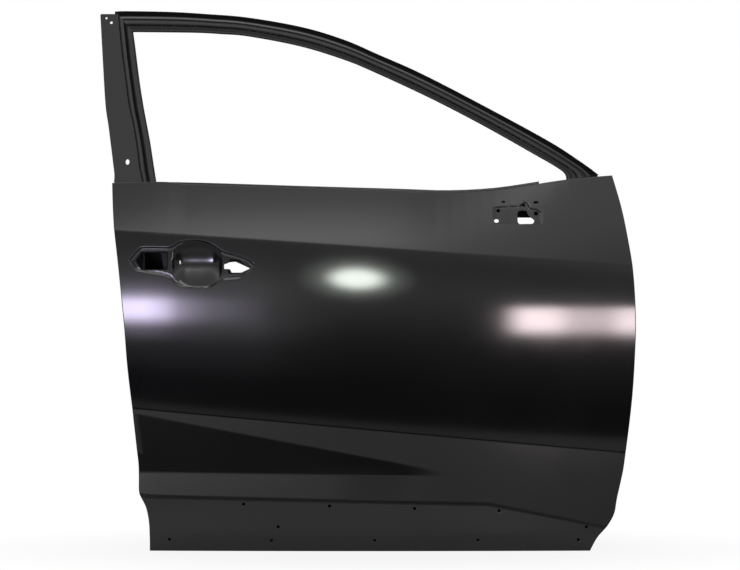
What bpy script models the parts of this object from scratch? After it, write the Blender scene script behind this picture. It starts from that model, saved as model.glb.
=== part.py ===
"""Front door shell of a passenger car, right-hand side, pressed and welded, before any trim.

The model is laid out in door coordinates: +X to the front of the car, +Z up, +Y from the outer skin
into the cabin. X is measured from the middle of the door, Z from the sill edge and Y from the fullest
point of the skin. An empty then carries everything so that the origin is the upper hinge seat.
"""
import math

import bmesh
import bpy
from mathutils import Vector
from mathutils.geometry import delaunay_2d_cdt, intersect_line_line_2d

# Overall sizes, in metres
HALF_LENGTH = 0.570
BELT_HEIGHT = 0.790
FRAME_RISE = 0.373

# Sheet thicknesses and clearances
SKIN_SHEET = 0.0008
PANEL_SHEET = 0.0010
FRAME_SHEET = 0.0010
PLATE_SHEET = 0.0016
HINGE_SHEET = 0.0025
CLEARANCE = 0.0003
HEM_GAP = 0.0005
OVERRUN = 0.010

# Depth of the skin behind its fullest point, along its feature lines
PLAN_BOW = 0.012
BELT_DEPTH = 0.045
SHOULDER_DEPTH = 0.006
WEDGE_TOP_DEPTH = 0.022
WEDGE_FOOT_DEPTH = 0.024
SILL_FACE_DEPTH = 0.014
SILL_STEP = 0.0040
SILL_STEP_HEIGHT = 0.0035
LOWER_BEND_DEPTH = 0.023
SILL_DEPTH = 0.030

# Hem, inner panel and window frame
HEM_WIDTH = 0.010
BELT_FLANGE = 0.006
HEM_FLANGE_WIDTH = 0.013
SEAL_STEP = 0.014
SEAL_STEP_RUN = 0.008
SEAL_SHELF_WIDTH = 0.003
SEAL_SHELF_RISE = 0.0025
STEP_SIDE = 0.0006
WALL_DRAFT = 0.003
FLOOR_DEPTH = 0.118
HINGE_FACE_X = 0.9035 * HALF_LENGTH
LATCH_FACE_X = 0.8667 * HALF_LENGTH
FRAME_DEPTH = 0.026
FRAME_SETBACK = 0.060
FRAME_LEAN_SHARE = 0.364

# Handle recess
HANDLE_X = -0.6491 * HALF_LENGTH
HANDLE_Z = 0.7841 * BELT_HEIGHT
BOWL_HALF_WIDTH = 0.056
BOWL_HALF_HEIGHT = 0.054
BOWL_DEPTH = 0.028
BOWL_POWER = 2.6
LOBE_DEPTH = 0.0035
LOBE_DRAFT = 0.004

# Mirror seat
MIRROR_X = 0.5632 * HALF_LENGTH
MIRROR_Z = 0.919 * BELT_HEIGHT
MIRROR_PAD_WIDTH = 0.106
MIRROR_PAD_HEIGHT = 0.051
MIRROR_PAD_SINK = 0.003
MIRROR_PAD_DRAFT = 0.003

# Holes in the skin
CLIP_HOLE_RADIUS = 0.0037

# Spacing of the points that follow the curves
CURVE_STEPS = 16
RIM_SPACING = 0.032
FIELD_SPACING = 0.075
ROW_SPACING = 0.060

# Outline of the skin in shares of HALF_LENGTH and BELT_HEIGHT
rear_edge_shares = (
    (-0.980, 1.004), (-0.968, 0.902), (-0.947, 0.771), (-0.926, 0.621), (-0.913, 0.492),
    (-0.886, 0.307), (-0.873, 0.217), (-0.875, 0.168), (-0.854, 0.139), (-0.838, 0.095),
    (-0.833, 0.055), (-0.833, 0.000),
)
sill_edge_shares = ((-0.833, 0.000), (0.836, 0.000))
front_edge_shares = (
    (0.836, 0.000), (0.859, 0.033), (0.919, 0.092), (0.939, 0.156), (0.964, 0.238),
    (0.991, 0.410), (1.002, 0.549), (1.004, 0.640), (0.995, 0.764), (0.977, 0.856),
    (0.955, 0.941), (0.923, 1.028),
)
belt_edge_shares = (
    (0.923, 1.028), (0.879, 1.025), (0.749, 1.015), (0.622, 1.000), (0.465, 0.984),
    (0.290, 0.978), (0.114, 0.982), (-0.267, 0.990), (-0.649, 0.999), (-0.980, 1.004),
)

# Feature lines of the skin in the same shares, each from rear to front
shoulder_shares = ((-1.05, 0.881), (1.05, 0.779))
wedge_top_shares = ((-1.05, 0.400), (1.05, 0.264))
wedge_nose_shares = ((-1.05, 0.408), (-0.90, 0.378), (0.307, 0.214), (1.05, 0.190))
wedge_foot_shares = ((-1.05, 0.217), (0.275, 0.207), (1.05, 0.160))
sill_step_shares = ((-1.05, 0.165), (-0.81, 0.152), (0.45, 0.131), (1.05, 0.045))
FULLEST_SHARE = 0.660
LOWER_BEND_SHARE = 0.0467
WEDGE_FADE_FROM_SHARE = 0.05
WEDGE_FADE_TO_SHARE = 0.33
SHOULDER_CROWN_SHARE = 0.18
WEDGE_SLOPE_SHARE = 0.20
CLIP_HOLE_SIDES = 8


def smooth_curve(points, spacing):
    """Even points along a curve that runs smoothly through the given ones."""
    dense = []
    last = len(points) - 1
    for i in range(last):
        before = Vector(points[max(i - 1, 0)])
        start = Vector(points[i])
        end = Vector(points[i + 1])
        after = Vector(points[min(i + 2, last)])
        for step in range(CURVE_STEPS):
            t = step / CURVE_STEPS
            bend = 2 * start + (end - before) * t
            bend += (2 * before - 5 * start + 4 * end - after) * t * t
            bend += (3 * start - before - 3 * end + after) * t * t * t
            dense.append(bend / 2)
    dense.append(Vector(points[last]))
    return even_points(dense, spacing)


def even_points(dense, spacing):
    """Points at even distances along a polyline, its two ends among them."""
    reach = [0.0]
    for a, b in zip(dense, dense[1:]):
        reach.append(reach[-1] + (b - a).length)
    count = max(1, round(reach[-1] / spacing))
    even = []
    at = 0
    for i in range(count + 1):
        want = reach[-1] * i / count
        while at < len(dense) - 2 and reach[at + 1] < want:
            at += 1
        span = reach[at + 1] - reach[at]
        share = (want - reach[at]) / span if span else 0.0
        even.append(dense[at].lerp(dense[at + 1], min(1.0, share)))
    return even


def place(shares, across=HALF_LENGTH, up=BELT_HEIGHT, base=0.0):
    """Turn outline shares into places in the plane of the door."""
    return [Vector((x * across, base + z * up)) for x, z in shares]


def line_height(points, x):
    """Height of a feature line at x."""
    for a, b in zip(points, points[1:]):
        if x <= b.x or b is points[-1]:
            return a.y + (b.y - a.y) * (x - a.x) / (b.x - a.x)
    return points[-1].y


SHOULDER = place(shoulder_shares)
WEDGE_TOP = place(wedge_top_shares)
WEDGE_NOSE = place(wedge_nose_shares)
WEDGE_FOOT = place(wedge_foot_shares)
STEP_TOP = place(sill_step_shares)
STEP_FOOT = [Vector((p.x, p.y - SILL_STEP_HEIGHT)) for p in STEP_TOP]
LOWER_BEND = place(((-1.05, LOWER_BEND_SHARE), (1.05, LOWER_BEND_SHARE)))
BELT_EDGE = smooth_curve(place(belt_edge_shares), RIM_SPACING)


def belt_height(x):
    """Height of the skin's top edge at x."""
    rising = BELT_EDGE[::-1]
    return line_height(rising, min(max(x, rising[0].x), rising[-1].x))


def skin_depth(x, z):
    """Depth of the pressed skin behind its fullest point, without the handle recess."""
    top = belt_height(x)
    shoulder = line_height(SHOULDER, x)
    fullest = FULLEST_SHARE * BELT_HEIGHT
    wedge_top = line_height(WEDGE_TOP, x)
    fade = (x / HALF_LENGTH - WEDGE_FADE_FROM_SHARE) / (WEDGE_FADE_TO_SHARE - WEDGE_FADE_FROM_SHARE)
    fade = min(1.0, max(0.0, fade))
    fade = fade * fade * (3 - 2 * fade)
    step_top = line_height(STEP_TOP, x)
    nose = line_height(WEDGE_NOSE, x)
    foot = line_height(WEDGE_FOOT, x)
    run = (wedge_top - nose) / (wedge_top - step_top)
    plain_nose = WEDGE_TOP_DEPTH + (SILL_FACE_DEPTH - WEDGE_TOP_DEPTH) * run
    run = (wedge_top - foot) / (wedge_top - step_top)
    plain_foot = WEDGE_TOP_DEPTH + (SILL_FACE_DEPTH - WEDGE_TOP_DEPTH) * run
    nose_depth = WEDGE_TOP_DEPTH - WEDGE_SLOPE_SHARE * (wedge_top - nose)
    rows = (
        (wedge_top, WEDGE_TOP_DEPTH),
        (nose, nose_depth + (plain_nose - nose_depth) * fade),
        (foot, WEDGE_FOOT_DEPTH + (plain_foot - WEDGE_FOOT_DEPTH) * fade),
        (step_top, SILL_FACE_DEPTH),
        (step_top - SILL_STEP_HEIGHT, SILL_FACE_DEPTH + SILL_STEP),
        (LOWER_BEND_SHARE * BELT_HEIGHT, LOWER_BEND_DEPTH),
        (0.0, SILL_DEPTH),
    )
    if z >= shoulder:
        rise = (z - shoulder) / (top - shoulder)
        rise = rise * (1 - SHOULDER_CROWN_SHARE * (1 - rise))
        depth = SHOULDER_DEPTH + (BELT_DEPTH - SHOULDER_DEPTH) * rise
    elif z >= fullest:
        depth = SHOULDER_DEPTH * ((z - fullest) / (shoulder - fullest)) ** 2
    elif z >= wedge_top:
        depth = WEDGE_TOP_DEPTH * ((fullest - z) / (fullest - wedge_top)) ** 2
    else:
        depth = SILL_DEPTH
        for (high, high_depth), (low, low_depth) in zip(rows, rows[1:]):
            if z >= low:
                depth = low_depth + (high_depth - low_depth) * (z - low) / (high - low)
                break
    return depth + PLAN_BOW * (x / HALF_LENGTH) ** 2


# Handle recess, in shares of the bowl's half width and half height from its centre
recess_shares = (
    (-2.66, 0.17), (-2.21, 0.71), (-1.55, 0.71), (-1.07, 0.69), (-0.88, 0.80), (-0.67, 0.93),
    (-0.20, 1.00), (0.29, 0.94), (0.63, 0.79), (0.98, 0.53), (1.47, 0.40), (1.95, 0.24),
    (2.25, -0.02), (2.11, -0.20), (1.90, -0.50), (1.60, -0.62), (0.98, -0.66), (0.63, -0.89),
    (0.39, -0.98), (-0.19, -0.99), (-0.61, -0.93), (-0.88, -0.80), (-1.07, -0.56), (-1.34, -0.48),
    (-1.96, -0.38), (-2.41, -0.29), (-2.61, -0.02),
)
bowl_shares = (
    (-1.07, 0.58), (-0.88, 0.80), (-0.67, 0.93), (-0.20, 1.00), (0.29, 0.94), (0.63, 0.79),
    (0.98, 0.53), (0.98, 0.12), (0.98, -0.29), (0.98, -0.66), (0.63, -0.89), (0.39, -0.98),
    (-0.19, -0.99), (-0.61, -0.93), (-0.88, -0.80), (-1.07, -0.56), (-1.07, -0.15), (-1.07, 0.27),
)
rear_aperture_shares = (
    (-2.42, 0.12), (-2.15, 0.46), (-1.19, 0.46), (-1.19, -0.25), (-2.13, -0.25),
)
front_aperture_shares = (
    (1.03, -0.01), (1.18, 0.02), (1.26, 0.20), (1.62, 0.16), (2.03, -0.19), (1.79, -0.29),
    (1.62, -0.40), (1.21, -0.40), (1.16, -0.23), (1.03, -0.21),
)
bowl_ring_shares = (0.94, 0.84, 0.68, 0.48, 0.26)

# Mirror seat: the sunk pad and its main opening, in shares of the pad's width and height
mirror_pad_shares = (
    (-0.49, 0.34), (0.02, 0.39), (0.14, 0.56), (0.20, 0.48), (0.25, 0.28), (0.38, 0.25),
    (0.48, 0.10), (0.49, -0.42), (-0.49, -0.42),
)
mirror_hole_shares = (
    (-0.02, 0.10), (0.03, 0.19), (0.17, 0.17), (0.20, 0.01), (0.26, -0.13), (0.33, -0.24),
    (0.31, -0.36), (0.28, -0.40), (0.01, -0.41), (-0.02, -0.31),
)


def from_handle(shares, grow=0.0):
    """Places given in shares of the bowl, moved out by grow from the middle of their own shape."""
    points = [
        Vector((HANDLE_X + x * BOWL_HALF_WIDTH, HANDLE_Z + z * BOWL_HALF_HEIGHT)) for x, z in shares
    ]
    return grown(points, grow)


def from_mirror(shares):
    """Places given in shares of the mirror pad's width and height from its middle."""
    return [
        Vector((MIRROR_X + x * MIRROR_PAD_WIDTH, MIRROR_Z + z * MIRROR_PAD_HEIGHT)) for x, z in shares
    ]


def grown(points, grow):
    """The same closed outline with every side moved out by grow."""
    if not grow:
        return points
    count = len(points)
    turn = 1.0 if signed_area(points) > 0 else -1.0
    moved = []
    for i, point in enumerate(points):
        before = (point - points[i - 1]).normalized()
        after = (points[(i + 1) % count] - point).normalized()
        out_before = Vector((before.y, -before.x)) * turn
        out_after = Vector((after.y, -after.x)) * turn
        bisector = out_before + out_after
        reach = 2 * grow / max(bisector.length_squared, 1.0)
        moved.append(point + bisector * reach)
    return moved


def signed_area(points):
    """Area of a closed outline, positive when it runs anticlockwise."""
    area = 0.0
    for a, b in zip(points, points[1:] + points[:1]):
        area += a.x * b.y - b.x * a.y
    return area / 2


def inside(point, outline):
    """True where the point lies within the closed outline."""
    within = False
    for a, b in zip(outline, outline[1:] + outline[:1]):
        if (a.y > point.y) != (b.y > point.y):
            if point.x < a.x + (b.x - a.x) * (point.y - a.y) / (b.y - a.y):
                within = not within
    return within


def distance(point, outline, closed=True):
    """Shortest way from the point to the outline."""
    ends = outline[1:] + outline[:1] if closed else outline[1:]
    nearest = math.inf
    for a, b in zip(outline, ends):
        side = b - a
        share = max(0.0, min(1.0, (point - a).dot(side) / max(side.length_squared, 1e-18)))
        nearest = min(nearest, (point - a - side * share).length)
    return nearest


RECESS = from_handle(recess_shares)
BOWL = from_handle(bowl_shares)
MIRROR_PAD = from_mirror(mirror_pad_shares)


def bowl_ring(share):
    """The bowl's outline drawn in towards its middle."""
    middle = Vector((HANDLE_X, HANDLE_Z))
    return [middle.lerp(point, share) for point in BOWL]


def bowl_share(point):
    """Distance from the bowl's middle as a share of the way to its outline."""
    middle = Vector((HANDLE_X, HANDLE_Z))
    share = 0.0
    for a, b in zip(BOWL, BOWL[1:] + BOWL[:1]):
        side = b - a
        out = Vector((side.y, -side.x))
        share = max(share, (point - middle).dot(out) / (a - middle).dot(out))
    return share


def runs_outside(loop, outline):
    """The stretches of a closed loop that lie outside an outline."""
    start = next(i for i, point in enumerate(loop) if inside(point, outline))
    runs = [[]]
    for point in loop[start:] + loop[:start]:
        if inside(point, outline):
            runs.append([])
        else:
            runs[-1].append(point)
    return [run for run in runs if len(run) > 1]


def recess_depth(point):
    """How far the handle recess and the mirror pad sink the skin at a point."""
    depth = 0.0
    if inside(point, RECESS):
        depth = LOBE_DEPTH * min(1.0, distance(point, RECESS) / LOBE_DRAFT)
        share = bowl_share(point)
        if share < 1.0:
            depth = max(depth, BOWL_DEPTH * (1 - share ** BOWL_POWER))
    if inside(point, MIRROR_PAD):
        foot = MIRROR_PAD[-1].y
        rise = (point.y - foot) / MIRROR_PAD_HEIGHT
        sink = MIRROR_PAD_SINK * min(1.0, max(0.0, rise))
        depth = sink * min(1.0, distance(point, MIRROR_PAD) / MIRROR_PAD_DRAFT)
    return depth


def circle(x, z, radius, sides, up=None):
    """A round or oval loop of points."""
    up = radius if up is None else up
    loop = []
    for i in range(sides):
        angle = math.tau * (i + 0.5) / sides
        loop.append(Vector((x + radius * math.cos(angle), z + up * math.sin(angle))))
    return loop


def rounded_box(left, right, low, high, radius, steps=3):
    """A rectangle with round corners, anticlockwise."""
    loop = []
    corners = ((right, low, -1), (right, high, 0), (left, high, 1), (left, low, 2))
    for x, z, quarter in corners:
        middle_x = x - radius if x == right else x + radius
        middle_z = z - radius if z == high else z + radius
        for i in range(steps + 1):
            angle = math.pi / 2 * (quarter + i / steps)
            loop.append(Vector((middle_x + radius * math.cos(angle),
                                middle_z + radius * math.sin(angle))))
    return loop


def inset(path, amount):
    """An open path moved to its left by amount, without the points that would fold over."""
    moved = []
    last = len(path) - 1
    for i, point in enumerate(path):
        before = (point - path[max(i - 1, 0)]) if i else path[1] - path[0]
        after = (path[min(i + 1, last)] - point) if i < last else path[last] - path[last - 1]
        left_before = Vector((-before.y, before.x)).normalized()
        left_after = Vector((-after.y, after.x)).normalized()
        bisector = left_before + left_after
        shifted = point + bisector * 2 * amount / max(bisector.length_squared, 1.0)
        if distance(shifted, path, closed=False) > abs(amount) * 0.97:
            moved.append(shifted)
    return moved


class Sheet:
    """A pressed sheet, laid out in the plane of the door and then given its depth."""

    def __init__(self, outline, depth):
        self.depth = depth
        self.points = []
        self.edges = []
        self.given = {}
        self.moved = {}
        self.holes = []
        self.outline = outline
        self.loop(outline)

    def loop(self, points, depth=None, side=0.0, closed=True, real=None):
        """Add a fold line; depth sets it, side shifts its back face, real says where it truly lies."""
        first = len(self.points)
        count = len(points)
        for i, point in enumerate(points):
            if real:
                self.moved[first + i] = real[i]
            if depth is not None or side:
                ahead = points[(i + 1) % count] if closed or i < count - 1 else point
                behind = points[i - 1] if closed or i else point
                run = (ahead - behind).normalized()
                shift = Vector((run.y, -run.x)) * side
                self.given[first + i] = (depth, shift)
            self.points.append(point)
        for i in range(count if closed else count - 1):
            self.edges.append((first + i, first + (i + 1) % count))

    def hole(self, points, depth=None):
        self.holes.append(points)
        self.loop(points, depth)

    def field(self, spacing, margin):
        """Scatter inner points in a regular grid, clear of every line."""
        low_x = min(p.x for p in self.outline)
        high_x = max(p.x for p in self.outline)
        low_z = min(p.y for p in self.outline)
        high_z = max(p.y for p in self.outline)
        columns = max(1, round((high_x - low_x) / spacing))
        rows = max(1, round((high_z - low_z) / spacing))
        segments = [(self.points[a], self.points[b]) for a, b in self.edges]
        for i in range(1, columns):
            for j in range(1, rows):
                point = Vector((low_x + (high_x - low_x) * i / columns,
                                low_z + (high_z - low_z) * j / rows))
                if not self.covers(point):
                    continue
                clear = all(distance(point, list(s), closed=False) > margin for s in segments)
                if clear:
                    self.points.append(point)

    def covers(self, point):
        if not inside(point, self.outline):
            return False
        return not any(inside(point, hole) for hole in self.holes)

    def faces(self):
        """Triangles of the flat layout, with the front and back place of every point."""
        found = delaunay_2d_cdt(self.points, self.edges, [], 0, 1e-6)
        points, _, triangles, origins = found[:4]
        front = []
        shift = []
        for point, origin in zip(points, origins):
            depth, side = None, Vector((0.0, 0.0))
            true = point
            for index in origin:
                if index in self.given:
                    depth, side = self.given[index]
                    true = self.moved.get(index, point)
                    break
            if depth is None:
                depth = self.depth(point)
            elif callable(depth):
                depth = depth(point)
            front.append(Vector((true.x, depth, true.y)))
            shift.append(side)
        kept = []
        for triangle in triangles:
            middle = sum((points[i] for i in triangle), Vector((0.0, 0.0))) / 3
            if self.covers(middle):
                kept.append(tuple(triangle))
        return front, shift, kept


def build_sheet(name, sheet, thickness, material, edge_fold=None):
    """Give a laid-out sheet its thickness and close its edges."""
    front, shift, triangles = sheet.faces()
    mesh = bmesh.new()
    used = sorted({i for triangle in triangles for i in triangle})
    front_at = {i: mesh.verts.new(front[i]) for i in used}
    back_at = {}
    for i in used:
        back = front[i] + Vector((shift[i].x, thickness, shift[i].y))
        back_at[i] = mesh.verts.new(back)
    directed = set()
    for a, b, c in triangles:
        mesh.faces.new((front_at[a], front_at[b], front_at[c]))
        mesh.faces.new((back_at[c], back_at[b], back_at[a]))
        directed.update(((a, b), (b, c), (c, a)))
    rim = [(a, b) for a, b in directed if (b, a) not in directed]
    if edge_fold:
        rim = edge_fold(mesh, front_at, back_at, rim)
    for a, b in rim:
        mesh.faces.new((front_at[b], front_at[a], back_at[a], back_at[b]))
    return finish_mesh(name, mesh, material)


def finish_mesh(name, mesh, material):
    """Turn a bmesh into a named object with its own material, faces pointing out."""
    bmesh.ops.recalc_face_normals(mesh, faces=mesh.faces)
    data = bpy.data.meshes.new(name)
    mesh.to_mesh(data)
    mesh.free()
    piece = bpy.data.objects.new(name, data)
    bpy.context.scene.collection.objects.link(piece)
    piece.parent = bpy.data.objects["door"]
    data.materials.append(material)
    return piece


def strip_outline(line, thickness):
    """Closed outline of a strip of sheet that follows a bent line."""
    sides = ([], [])
    last = len(line) - 1
    for i, point in enumerate(line):
        before = (point - line[i - 1]).normalized() if i else (line[1] - line[0]).normalized()
        after = (line[i + 1] - point).normalized() if i < last else before
        left_before = Vector((-before.y, before.x))
        left_after = Vector((-after.y, after.x))
        bisector = left_before + left_after
        offset = bisector * thickness / max(bisector.length_squared, 0.5)
        sides[0].append(point + offset)
        sides[1].append(point - offset)
    return sides[0] + sides[1][::-1]


def sweep(name, stations, material):
    """Skin a row of equal outlines and cap both ends."""
    mesh = bmesh.new()
    rings = [[mesh.verts.new(point) for point in ring] for ring in stations]
    count = len(rings[0])
    for ring, following in zip(rings, rings[1:]):
        for i in range(count):
            j = (i + 1) % count
            mesh.faces.new((ring[i], ring[j], following[j], following[i]))
    mesh.faces.new(rings[0][::-1])
    mesh.faces.new(rings[-1])
    bmesh.ops.triangulate(mesh, faces=mesh.faces)
    return finish_mesh(name, mesh, material)


def primer(name, colour, roughness, metallic=0.3):
    """Black primer on pressed steel, a little different on each piece."""
    paint = bpy.data.materials.new(name)
    paint.use_nodes = True
    shader = paint.node_tree.nodes["Principled BSDF"]
    shader.inputs["Base Color"].default_value = (*colour, 1.0)
    shader.inputs["Roughness"].default_value = roughness
    shader.inputs["Metallic"].default_value = metallic
    return paint


def prism(name, outline, at, low, high):
    """A cutter or block: a closed outline pushed along X, Y or Z from low to high."""
    mesh = bmesh.new()
    rings = []
    for level in (low, high):
        ring = []
        for point in outline:
            places = {"X": (level, point.x, point.y), "Y": (point.x, level, point.y),
                      "Z": (point.x, point.y, level)}
            ring.append(mesh.verts.new(places[at]))
        rings.append(ring)
    count = len(outline)
    for i in range(count):
        j = (i + 1) % count
        mesh.faces.new((rings[0][i], rings[0][j], rings[1][j], rings[1][i]))
    mesh.faces.new(rings[0][::-1])
    mesh.faces.new(rings[1])
    return mesh


def cut(pieces, name, outlines, at, low, high):
    """Cut the same holes through several pieces."""
    joined = bmesh.new()
    for outline in outlines:
        single = prism(name, outline, at, low, high)
        bmesh.ops.recalc_face_normals(single, faces=single.faces)
        data = bpy.data.meshes.new(name)
        single.to_mesh(data)
        single.free()
        joined.from_mesh(data)
        bpy.data.meshes.remove(data)
    data = bpy.data.meshes.new(name)
    joined.to_mesh(data)
    joined.free()
    cutter = bpy.data.objects.new(name, data)
    bpy.context.scene.collection.objects.link(cutter)
    cutter.parent = bpy.data.objects["door"]
    cutter.hide_render = True
    cutter.display_type = "WIRE"
    for piece in pieces:
        modifier = piece.modifiers.new(name, "BOOLEAN")
        modifier.operation = "DIFFERENCE"
        modifier.solver = "EXACT"
        modifier.object = cutter


# Paths round the door, from the belt at the rear, down, along the sill and up to the belt
REAR_EDGE = smooth_curve(place(rear_edge_shares), RIM_SPACING)
SILL_EDGE = smooth_curve(place(sill_edge_shares), RIM_SPACING)
FRONT_EDGE = smooth_curve(place(front_edge_shares), RIM_SPACING)
RIM = REAR_EDGE + SILL_EDGE[1:] + FRONT_EDGE[1:]
FEATURE_LINES = (SHOULDER, WEDGE_TOP, WEDGE_NOSE, WEDGE_FOOT, STEP_TOP, STEP_FOOT, LOWER_BEND)
HEM_STACK = 2 * SKIN_SHEET + PANEL_SHEET + 2 * HEM_GAP
FLANGE_INSET = SKIN_SHEET + 2 * CLEARANCE

# The belt lip runs between these shares of HALF_LENGTH
BELT_LIP_FROM_SHARE = -0.797
BELT_LIP_TO_SHARE = 0.655
HEM_TOP_GAP = 0.022


def row_points(line):
    """Points along a feature line, from edge to edge of the skin."""
    low = line[0].x
    high = line[-1].x
    count = round((high - low) / ROW_SPACING)
    points = []
    for i in range(count + 1):
        x = low + (high - low) * i / count
        points.append(Vector((x, line_height(line, x))))
    return points


def follow(point, inward, amount):
    """Move a rim point into the door, along the feature line that it lies on where there is one."""
    for line in FEATURE_LINES:
        if abs(line_height(line, point.x) - point.y) < CLEARANCE / 10:
            x = point.x + math.copysign(amount, inward.x)
            return Vector((x, line_height(line, x)))
    return point + inward * amount


def fold_hem(mesh, front_at, back_at, rim):
    """Fold the skin's rear, sill and front edges over the inner panel, and its belt edge inward."""
    ahead = dict(rim)
    behind = {b: a for a, b in rim}
    flat = {i: Vector((v.co.x, v.co.z)) for i, v in front_at.items()}
    kind = {}
    for a, b in rim:
        kind[a, b] = edge_kind(flat[a], flat[b])
    inward = {}
    for a, b in rim:
        before = (flat[a] - flat[behind[a]]).normalized()
        after = (flat[b] - flat[a]).normalized()
        bisector = Vector((-before.y - after.y, before.x + after.x))
        inward[a] = bisector * 2 / max(bisector.length_squared, 1.0)
    profiles = {}

    def profile(i, name):
        """The bent edge's points from the outer face round to the sheet's back."""
        if (i, name) in profiles:
            return profiles[i, name]
        front = front_at[i].co
        near = follow(flat[i], inward[i], SKIN_SHEET)
        depth = front.y
        near_depth = skin_depth(near.x, near.y)
        if name == "hem":
            far = follow(flat[i], inward[i], HEM_WIDTH)
            far_depth = skin_depth(far.x, far.y)
            places = (
                (flat[i].x, depth + HEM_STACK, flat[i].y),
                (far.x, far_depth + HEM_STACK, far.y),
                (far.x, far_depth + HEM_STACK - SKIN_SHEET, far.y),
                (near.x, near_depth + HEM_STACK - SKIN_SHEET, near.y),
            )
        else:
            places = (
                (flat[i].x, depth + BELT_FLANGE, flat[i].y),
                (near.x, depth + BELT_FLANGE, near.y),
            )
        back_at[i].co = Vector((near.x, near_depth + SKIN_SHEET, near.y))
        line = [front_at[i]] + [mesh.verts.new(place) for place in places] + [back_at[i]]
        profiles[i, name] = line
        return line

    plain = []
    for a, b in rim:
        name = kind[a, b]
        if name == "plain":
            plain.append((a, b))
            continue
        start = profile(a, name)
        end = profile(b, name)
        for i in range(len(start) - 1):
            mesh.faces.new((start[i], start[i + 1], end[i + 1], end[i]))
        if kind[behind[a], a] != name:
            mesh.faces.new(start)
        if kind[b, ahead[b]] != name:
            mesh.faces.new(end[::-1])
    return plain


def edge_kind(a, b):
    """Whether a stretch of the skin's edge is hemmed, flanged or left plain."""
    for point in (a, b):
        if distance(point, RIM, closed=False) > CLEARANCE:
            break
        if point.y > belt_height(point.x) - HEM_TOP_GAP:
            break
    else:
        return "hem"
    low = BELT_LIP_FROM_SHARE * HALF_LENGTH
    high = BELT_LIP_TO_SHARE * HALF_LENGTH
    on_belt = all(distance(p, BELT_EDGE, closed=False) < CLEARANCE for p in (a, b))
    if on_belt and all(low < p.x < high for p in (a, b)):
        return "flange"
    return "plain"


# Fixing holes of the mirror seat: place, half width and half height in shares of the pad
MIRROR_HOLE = from_mirror(mirror_hole_shares)
mirror_screw_shares = (
    (-0.406, 0.167, 0.0406, 0.0406), (0.363, 0.049, 0.0472, 0.0472),
    (-0.302, 0.543, 0.0406, 0.0255), (0.363, 0.524, 0.0566, 0.0283),
    (0.113, 0.394, 0.0406, 0.0255), (-0.448, -0.271, 0.0519, 0.0406),
)
MIRROR_HOLE_SIDES = 10


def mirror_screw_holes():
    """Outlines of the mirror's round and oval fixing holes."""
    loops = []
    for x, z, wide, high in mirror_screw_shares:
        spot = from_mirror(((x, z),))[0]
        loops.append(circle(spot.x, spot.y, wide * MIRROR_PAD_WIDTH, MIRROR_HOLE_SIDES,
                            high * MIRROR_PAD_WIDTH))
    return loops


# Clip holes of the lower cladding, in shares of HALF_LENGTH and BELT_HEIGHT
clip_hole_shares = (
    (-0.476, 0.1300), (-0.151, 0.1250), (0.170, 0.1180), (0.489, 0.1120), (0.820, 0.0670),
    (-0.345, 0.0680), (-0.757, 0.0320), (-0.371, 0.0300), (0.019, 0.0300), (0.410, 0.0312),
    (0.790, 0.0312),
)


def outer_skin():
    """The pressed outer panel, with its creases, recess, holes and hem."""
    outline = RIM + BELT_EDGE[1:-1]
    sheet = Sheet(outline, lambda p: skin_depth(p.x, p.y) + recess_depth(p))
    # The lines run past the skin's edge, and the outline leaves out what lies beyond it
    for line in FEATURE_LINES:
        sheet.loop(row_points(line), closed=False)
    sheet.loop(RECESS)
    for run in runs_outside(grown(RECESS, -LOBE_DRAFT), BOWL):
        sheet.loop(run, closed=False)
    sheet.loop(BOWL)
    for share in bowl_ring_shares:
        sheet.loop(bowl_ring(share))
    sheet.points.append(Vector((HANDLE_X, HANDLE_Z)))
    sheet.hole(from_handle(rear_aperture_shares))
    sheet.hole(from_handle(front_aperture_shares))
    sheet.loop(MIRROR_PAD)
    sheet.loop(grown(MIRROR_PAD, -MIRROR_PAD_DRAFT))
    sheet.hole(MIRROR_HOLE)
    for loop in mirror_screw_holes():
        sheet.hole(loop)
    for spot in place(clip_hole_shares):
        sheet.hole(circle(spot.x, spot.y, CLIP_HOLE_RADIUS, CLIP_HOLE_SIDES))
    sheet.field(FIELD_SPACING, FIELD_SPACING / 4)
    paint = primer("black_primer_skin", (0.012, 0.012, 0.013), 0.32)
    return build_sheet("outer_skin", sheet, SKIN_SHEET, paint, fold_hem)


# Inner panel: places of its openings, holes and beads
OPENING_RADIUS = 0.040
OPENING_EDGE_SINK = 0.006
OPENING_EDGE_WIDTH = 0.010
OPENING_LOW = 0.4177 * BELT_HEIGHT
OPENING_HIGH = 0.9139 * BELT_HEIGHT
REAR_OPENING_FROM = -0.693 * HALF_LENGTH
REAR_OPENING_TO = -0.0702 * HALF_LENGTH
FRONT_OPENING_FROM = 0.0351 * HALF_LENGTH
FRONT_OPENING_TO = 0.7018 * HALF_LENGTH
SPEAKER_X = 0.4737 * HALF_LENGTH
SPEAKER_Z = 0.2342 * BELT_HEIGHT
SPEAKER_RADIUS = 0.082
SPEAKER_SIDES = 24
BEAD_FROM = -0.6491 * HALF_LENGTH
BEAD_TO = 0.1053 * HALF_LENGTH
BEAD_HALF_HEIGHT = 0.009
BEAD_SINK = 0.005
BEAD_DRAFT = 0.005
bead_height_shares = (0.133, 0.2215, 0.310)
TRIM_HOLE_RADIUS = 0.0045
TRIM_HOLE_SIDES = 8
LATCH_WALL_TOP = 0.8101 * BELT_HEIGHT
LATCH_WALL_BLEND = 0.080
LATCH_WALL_RELAX = 0.060
TRIM_FOOT_SHARE = 0.0835
trim_foot_shares = (-0.702, -0.263, 0.175, 0.702)
trim_column_shares = (-0.781, -0.0175, 0.798)
trim_row_shares = (0.494, 0.785)
PANEL_FIELD = 0.110

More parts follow.
